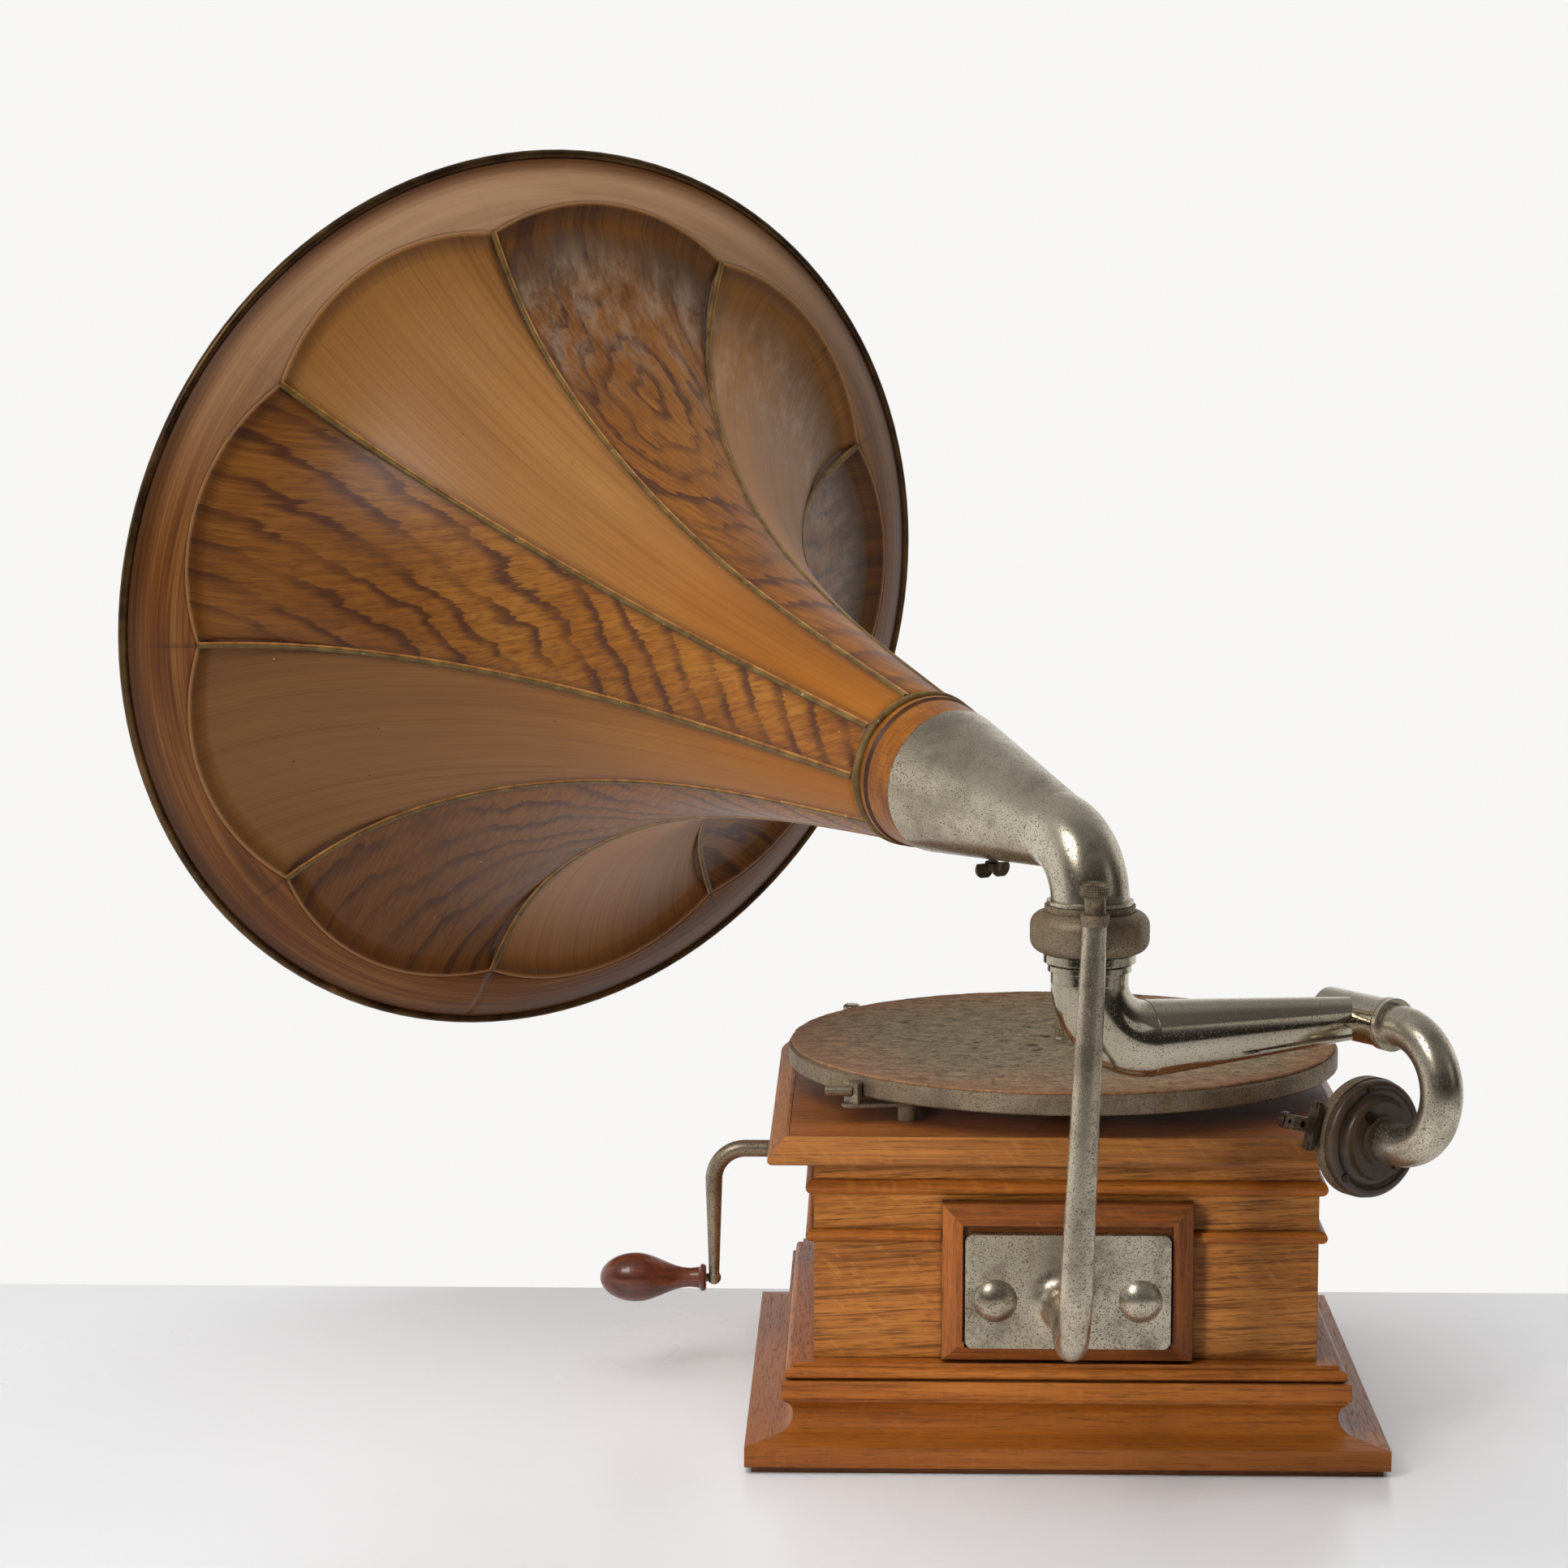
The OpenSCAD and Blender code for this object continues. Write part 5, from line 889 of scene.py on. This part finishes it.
# %% [markdown]
# The seams are folded edges of the petals. A curve runs up each seam and a small profile is swept
# along it. The curve's points come from the same outside line, so the bead sits on the sheet. All
# seams start as one long line of points, and the edges that would join two seams are deleted.

# %% Seam beads
BEAD_FIRST, BEAD_SPAN = 0.004, 0.995
OLIVE_BEAD = (1.1 * MM, -0.2 * MM, -0.5 * MM)
GOLD_FOLD = (0.65 * MM, -0.1 * MM, 1.0 * MM)


def bead_along_seam(name, material, width, lift, offset):
    """Round profile swept along every seam, lifted off the sheet and set to one side of the seam."""
    tree, size = new_tree(name, **{"Bead radius": width, "Steps": 120, "Seams": PETALS})
    count = size["Steps"] * size["Seams"]
    line = feed(tree, "GeometryNodeMeshLine", {"Count": count, "Offset": (1.0, 0.0, 0.0)})
    index = feed(tree, "GeometryNodeInputIndex")
    seam = (index / size["Steps"]).math("FLOOR")
    step = (index - seam * size["Steps"]) / (size["Steps"] - 1.0)
    s, radius = horn_line(step * BEAD_SPAN + BEAD_FIRST)
    turn = seam * PETAL_SWEEP + SEAM_TURN + offset / radius
    geometry = place_on_horn(tree, line, s, radius + lift, turn)
    first = feed(tree, "GeometryNodeInputMeshEdgeVertices")
    joins = ((first + 1.0).math("FLOORED_MODULO", size["Steps"])).math("LESS_THAN", 0.5)
    cut = feed(tree, "GeometryNodeDeleteGeometry", {"Geometry": geometry, "Selection": joins},
               domain="EDGE", mode="EDGE_FACE")
    curves = feed(tree, "GeometryNodeMeshToCurve", {0: cut})
    ring = feed(tree, "GeometryNodeCurvePrimitiveCircle", {"Resolution": 10, "Radius": size["Bead radius"]})
    tube = feed(tree, "GeometryNodeCurveToMesh", {
        "Curve": curves, "Profile Curve": ring, "Fill Caps": True})
    end_tree(tree, tube, material)
    return tree


grow("seam_beads", bead_along_seam("olive beads", seam_olive, *OLIVE_BEAD), "horn", ["horn_ribs"])
grow("seam_folds", bead_along_seam("gold folds", seam_gold, *GOLD_FOLD), "horn")

# %% [markdown]
# The rolled rim is brass gone dark. The throat ring has the olive of the seams, and the ferrule
# below it is flecked like the figured petals, with one dark line around it.

# %% Rim wire, throat ring and ferrule
FERRULE_LINE_S = 121.4 * MM


def old_brass(name):
    material, tree, shader = finish(name, Metallic=0.8)
    place = object_space(tree)
    tarnish = cloud(place, 60.0, detail=5.0, rough=0.65)
    rubbed = cloud(place, 9.0, detail=3.0)
    tone = tarnish * 0.6 + rubbed * 0.4
    colour = ramp(tone, (0.4, srgb(62, 44, 28)), (0.6, srgb(112, 84, 48)), (0.8, srgb(176, 140, 82)))
    give(tree, shader, Base_Color=colour, Roughness=tarnish * 0.35 + 0.2)
    relief(tree, shader, tarnish, 0.08 * MM)
    return material


def ferrule_paint():
    material, tree, shader = varnish("ferrule paint")
    along, _, turn, _, _ = horn_space(tree)
    around = combine(turn * 0.034, along, 0.0)
    comb = cloud(stretch(around, (60.0, 420.0, 1.0)), detail=4.0)
    bands = cloud(stretch(around, (30.0, 60.0, 1.0)), detail=3.0)
    colour = ramp(comb * 0.5 + bands * 0.5, (0.36, srgb(108, 60, 10)), (0.5, srgb(144, 84, 18)),
                  (0.64, srgb(168, 107, 36)))
    flecks = cloud(stretch(around, (700.0, 110.0, 1.0)), detail=2.0).rise(0.5, 0.66)
    colour = blend(flecks * 0.55, colour, srgb(104, 58, 28))
    line = 1.0 - (along - FERRULE_LINE_S).math("ABSOLUTE").rise(0.5 * MM, 1.5 * MM)
    colour = blend(line * 0.85, colour, srgb(58, 36, 28))
    give(tree, shader, Base_Color=dust(around, colour), Roughness=bands * 0.25 + 0.28)
    relief(tree, shader, comb, 0.05 * MM)
    return material


wear(old_brass("rolled rim brass"), "horn_rim_wire")
wear(seam_olive, "throat_ring")
wear(ferrule_paint(), "horn_ferrule")

# %% [markdown]
# The turntable's felt is worn: greenish grey where records rubbed it, rust brown at the edge, eaten
# by moths near the spindle. It is modelled as a thin sheet with real dents and a frayed edge.

# %% Felt
felt_low, felt_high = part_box("felt")
felt_middle = (felt_low + felt_high) / 2
FELT_R = (felt_high.x - felt_low.x) / 2
FELT_BORE = 3.9 * MM
FELT_RINGS, FELT_SPOKES = 80, 240
FRAY = 0.5 * MM
MOTH_SEED, MOTH_HOLES = 7, 30
HOLE_DEPTH, DEEPEST = 0.9 * MM, 1.35 * MM


def felt_paint():
    material, tree, shader = finish("worn felt", Roughness=1.0, Sheen_Weight=0.08, Sheen_Roughness=0.6,
                                    Specular_IOR_Level=0.1)
    x, y, z = split(object_space(tree))
    x, y = x - felt_middle.x, y - felt_middle.y
    place = combine(x, y, 0.0)
    out = (x * x + y * y).math("SQRT")
    fuzz = cloud(stretch(place, (500.0, 1100.0, 1.0)), detail=3.0, rough=0.7)
    felted = cloud(stretch(place, (110.0, 170.0, 1.0)), detail=5.0, rough=0.65)
    patches = cloud(place, 15.0, detail=4.0, rough=0.6)
    nap = felted * 0.5 + fuzz * 0.5
    brown = ramp(nap, (0.36, srgb(86, 60, 38)), (0.5, srgb(140, 108, 76)), (0.64, srgb(178, 146, 110)))
    green = ramp(nap, (0.36, srgb(72, 65, 46)), (0.5, srgb(122, 111, 84)), (0.64, srgb(158, 146, 116)))
    middle = (patches * 0.16 + 0.02 - out).rise(-0.03, 0.03)
    colour = blend(middle * 0.8, brown, green)
    edge = out.rise(FELT_R - 16 * MM, FELT_R) * (patches * 0.7 + 0.3)
    colour = blend(edge * 0.75, colour, srgb(122, 76, 46))
    pit = (felt_high.z - z).rise(0.45 * MM, 1.0 * MM) * (1.0 - out.rise(0.1, 0.12))
    colour = blend(pit * 0.85, colour, srgb(38, 31, 25))
    give(tree, shader, Base_Color=colour)
    relief(tree, shader, fuzz * 0.6 + felted, 0.6 * MM)
    return material


def felt_holes(seed, count):
    """Moth holes close to the spindle: place and radius."""
    draw = random.Random(seed)
    holes = []
    for _ in range(count):
        turn = draw.uniform(0, math.tau)
        out = abs(draw.gauss(0, 0.028)) + 0.008
        holes.append((out * math.cos(turn), out * math.sin(turn), draw.uniform(1.2, 4.2) * MM))
    return holes


def felt_height(x, y, holes):
    """How far the felt's top lies under its highest level at a place."""
    worn_down = 0.22 * MM * (1 + noise.noise(Vector((x, y, 0.3)) * 60))
    worn_down += 0.16 * MM * (1 + noise.noise(Vector((x, y, 4.1)) * 260))
    for hole_x, hole_y, radius in holes:
        away = math.hypot(x - hole_x, y - hole_y)
        away += 0.6 * radius * noise.noise(Vector((x, y, hole_x * 90)) * 420)
        worn_down += HOLE_DEPTH * max(0.0, min(1.0, 1.4 * (1 - away / radius)))
    return min(worn_down, DEEPEST)


def make_felt(material):
    holes = felt_holes(MOTH_SEED, MOTH_HOLES)
    points, faces = [], []
    for ring in range(FELT_RINGS + 1):
        for spoke in range(FELT_SPOKES):
            turn = math.tau * spoke / FELT_SPOKES
            fray = FRAY * noise.noise(Vector((math.cos(turn), math.sin(turn), 0.0)) * 22)
            outer = FELT_R - FRAY + fray
            out = FELT_BORE + (outer - FELT_BORE) * ring / FELT_RINGS
            x, y = out * math.cos(turn), out * math.sin(turn)
            points.append((x + felt_middle.x, y + felt_middle.y, felt_high.z - felt_height(x, y, holes)))
    top = len(points)
    points += [(x, y, felt_low.z) for x, y, z in points]
    for ring in range(FELT_RINGS):
        for spoke in range(FELT_SPOKES):
            a = ring * FELT_SPOKES + spoke
            b = ring * FELT_SPOKES + (spoke + 1) % FELT_SPOKES
            c, d = b + FELT_SPOKES, a + FELT_SPOKES
            faces += [(a, d, c, b), (a + top, b + top, c + top, d + top)]
    for spoke in range(FELT_SPOKES):
        a, b = spoke, (spoke + 1) % FELT_SPOKES
        c, d = FELT_RINGS * FELT_SPOKES + a, FELT_RINGS * FELT_SPOKES + b
        faces += [(a, b, b + top, a + top), (d, c, c + top, d + top)]
    mesh = bpy.data.meshes.new("turntable_felt")
    mesh.from_pydata(points, [], faces)
    mesh.polygons.foreach_set("use_smooth", [True] * len(mesh.polygons))
    mesh.materials.append(material)
    return new_object("turntable_felt", mesh)


felt_cloth = felt_paint()
felt = make_felt(felt_cloth)
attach(felt, "turntable")
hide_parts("felt")
print("felt has", len(felt.data.polygons), "faces")

# %% [markdown]
# Loose fibres lie all over the felt. One short bent hair is a curve with a three-sided profile, and
# Geometry Nodes scatter turned copies of it evenly over the disc: the square root of a random
# number keeps the middle from crowding.

# %% Geometry Nodes: felt fibres
FIBRES, FIBRE_START = 5000, 6 * MM
HAIR_R, HAIR_BEND = 0.09 * MM, 3.2 * MM
HAIR_SWEEP = math.radians(50)


def random_number(tree, low, high, seed):
    return feed(tree, "FunctionNodeRandomValue", {2: low, 3: high, 8: seed}, output=1, data_type="FLOAT")


def fibre_tree(material):
    tree, size = new_tree("felt fibres", **{"Fibres": FIBRES, "Disc radius": FELT_R, "Hair radius": HAIR_R})
    out = random_number(tree, 0.0, 1.0, 1).math("SQRT") * (size["Disc radius"] - FIBRE_START) + FIBRE_START
    turn = random_number(tree, 0.0, math.tau, 2)
    level = random_number(tree, -0.45 * MM, -0.12 * MM, 3)
    spot = combine(out * turn.math("COSINE") + felt_middle.x, out * turn.math("SINE") + felt_middle.y,
                   level + felt_high.z)
    points = feed(tree, "GeometryNodePoints", {"Count": size["Fibres"], "Position": spot})
    arc = feed(tree, "GeometryNodeCurveArc", {
        "Resolution": 4, "Radius": HAIR_BEND, "Sweep Angle": HAIR_SWEEP})
    ring = feed(tree, "GeometryNodeCurvePrimitiveCircle", {"Resolution": 3, "Radius": size["Hair radius"]})
    hair = feed(tree, "GeometryNodeCurveToMesh", {"Curve": arc, "Profile Curve": ring})
    lean = combine(random_number(tree, -0.06, 0.06, 4), random_number(tree, -0.06, 0.06, 5),
                   random_number(tree, 0.0, math.tau, 6))
    copies = feed(tree, "GeometryNodeInstanceOnPoints", {
        "Points": points, "Instance": hair, "Rotation": lean,
        "Scale": combine(*[random_number(tree, 0.5, 1.3, 7)] * 3)})
    end_tree(tree, copies, material)
    return tree


grow("felt_fibres", fibre_tree(felt_cloth), "turntable",
     **{"Fibres": FIBRES, "Disc radius": FELT_R - 5 * MM, "Hair radius": HAIR_R})

# %% [markdown]
# The stage is a pale glossy table top that ends a little behind the machine, in front of a bright
# wall. The wall is the world's own light: white ahead of the camera, dark behind it and dim above,
# so that the nickel has something dark to mirror.

# %% Stage
TABLE_BACK = 0.19
TABLE_FRONT, TABLE_HALF = -0.95, 2.4


def table_finish():
    material, tree, shader = finish("pale table")
    smudge = cloud(object_space(tree), 5.0, detail=4.0)
    give(tree, shader, Base_Color=ramp(smudge, (0.3, srgb(245, 245, 246)), (0.7, srgb(249, 249, 250))),
         Roughness=smudge * 0.12 + 0.2)
    return material


mesh = bpy.data.meshes.new("table_top")
corners = [(-TABLE_HALF, TABLE_FRONT), (TABLE_HALF, TABLE_FRONT),
           (TABLE_HALF, TABLE_BACK), (-TABLE_HALF, TABLE_BACK)]
mesh.from_pydata([(x, y, 0.0) for x, y in corners], [], [(0, 1, 2, 3)])
mesh.materials.append(table_finish())
table = new_object("table_top", mesh)
print("table reaches", TABLE_BACK, "m behind the middle of the case")

# %% [markdown]
# Light comes from soft boxes: a large one overhead, one high in front on the left, a narrow one
# aimed at the left end of the case and a weak one on the right. The overhead and the narrow box only
# light: polished pieces mirror the bright wall, the dark room and the other two boxes instead.

# %% Light
def soft_box(name, place, target, size, power, mirrored=True, spread=180):
    """Area light of a power in watts, aimed at a target; spread is its opening in degrees."""
    lamp = bpy.data.lights.new(name, "AREA")
    lamp.shape = "RECTANGLE"
    lamp.size, lamp.size_y = size
    lamp.energy = power
    lamp.spread = math.radians(spread)
    holder = new_object(name, lamp)
    holder.location = place
    aim = Vector(target) - Vector(place)
    holder.rotation_euler = aim.to_track_quat("-Z", "Y").to_euler()
    holder.visible_glossy = mirrored


def studio_world():
    world = bpy.data.worlds.new("studio")
    world.use_nodes = True
    tree = world.node_tree
    glow = tree.nodes["Background"]
    x, y, z = split(feed(tree, "ShaderNodeTexCoord", output="Generated"))
    ahead = (y - x * 0.35).rise(-0.25, 0.35)
    above = z.rise(0.2, 0.75)
    wall = ahead * (1.0 - above * 0.75)
    room = ramp((wall + above * 0.15).math("MINIMUM", 1.0), (0.0, (0.03, 0.029, 0.028, 1)),
                (1.0, (0.92, 0.92, 0.92, 1)))
    seen = feed(tree, "ShaderNodeLightPath", output="Is Camera Ray")
    give(tree, glow, Color=blend(seen, room, (0.93, 0.925, 0.915, 1)))
    bpy.context.scene.world = world


studio_world()
soft_box("overhead box", (-0.3, -0.2, 1.7), (-0.1, -0.1, 0.2), (2.0, 1.5), 16, mirrored=False)
soft_box("left box", (-0.9, -1.1, 1.35), (-0.1, 0.0, 0.35), (0.5, 0.7), 9)
soft_box("case box", (-0.75, -1.0, 0.42), (-0.1, -0.14, 0.14), (0.25, 0.25), 0.2,
         mirrored=False, spread=22)
soft_box("right box", (1.5, -0.9, 0.8), (0.0, 0.0, 0.2), (0.5, 0.8), 0.6)
bpy.context.scene.view_settings.view_transform = "Standard"

# %% [markdown]
# The camera stands where the picture was taken: slightly above the horn's mouth, almost two metres
# away, looking a little down. A long lens keeps the perspective calm.

# %% Camera
CAMERA_PLACE = Vector((-81.66 * MM, -1860.30 * MM, 520.56 * MM))
CAMERA_YAW, CAMERA_PITCH = -0.0243, 0.1249
FOCAL_PIXELS, IMAGE_PIXELS = 5003.4, 1932
ahead = Vector((math.sin(CAMERA_YAW) * math.cos(CAMERA_PITCH),
                math.cos(CAMERA_YAW) * math.cos(CAMERA_PITCH), -math.sin(CAMERA_PITCH)))
right = Vector((math.cos(CAMERA_YAW), -math.sin(CAMERA_YAW), 0.0))
lens = bpy.data.cameras.new("camera")
lens.sensor_width = 36.0
lens.lens = lens.sensor_width * FOCAL_PIXELS / IMAGE_PIXELS
camera = new_object("camera", lens)
camera.matrix_world = Matrix((right, right.cross(ahead), -ahead)).transposed().to_4x4()
camera.location = CAMERA_PLACE
bpy.context.scene.camera = camera
print(f"lens {lens.lens:.1f} mm")
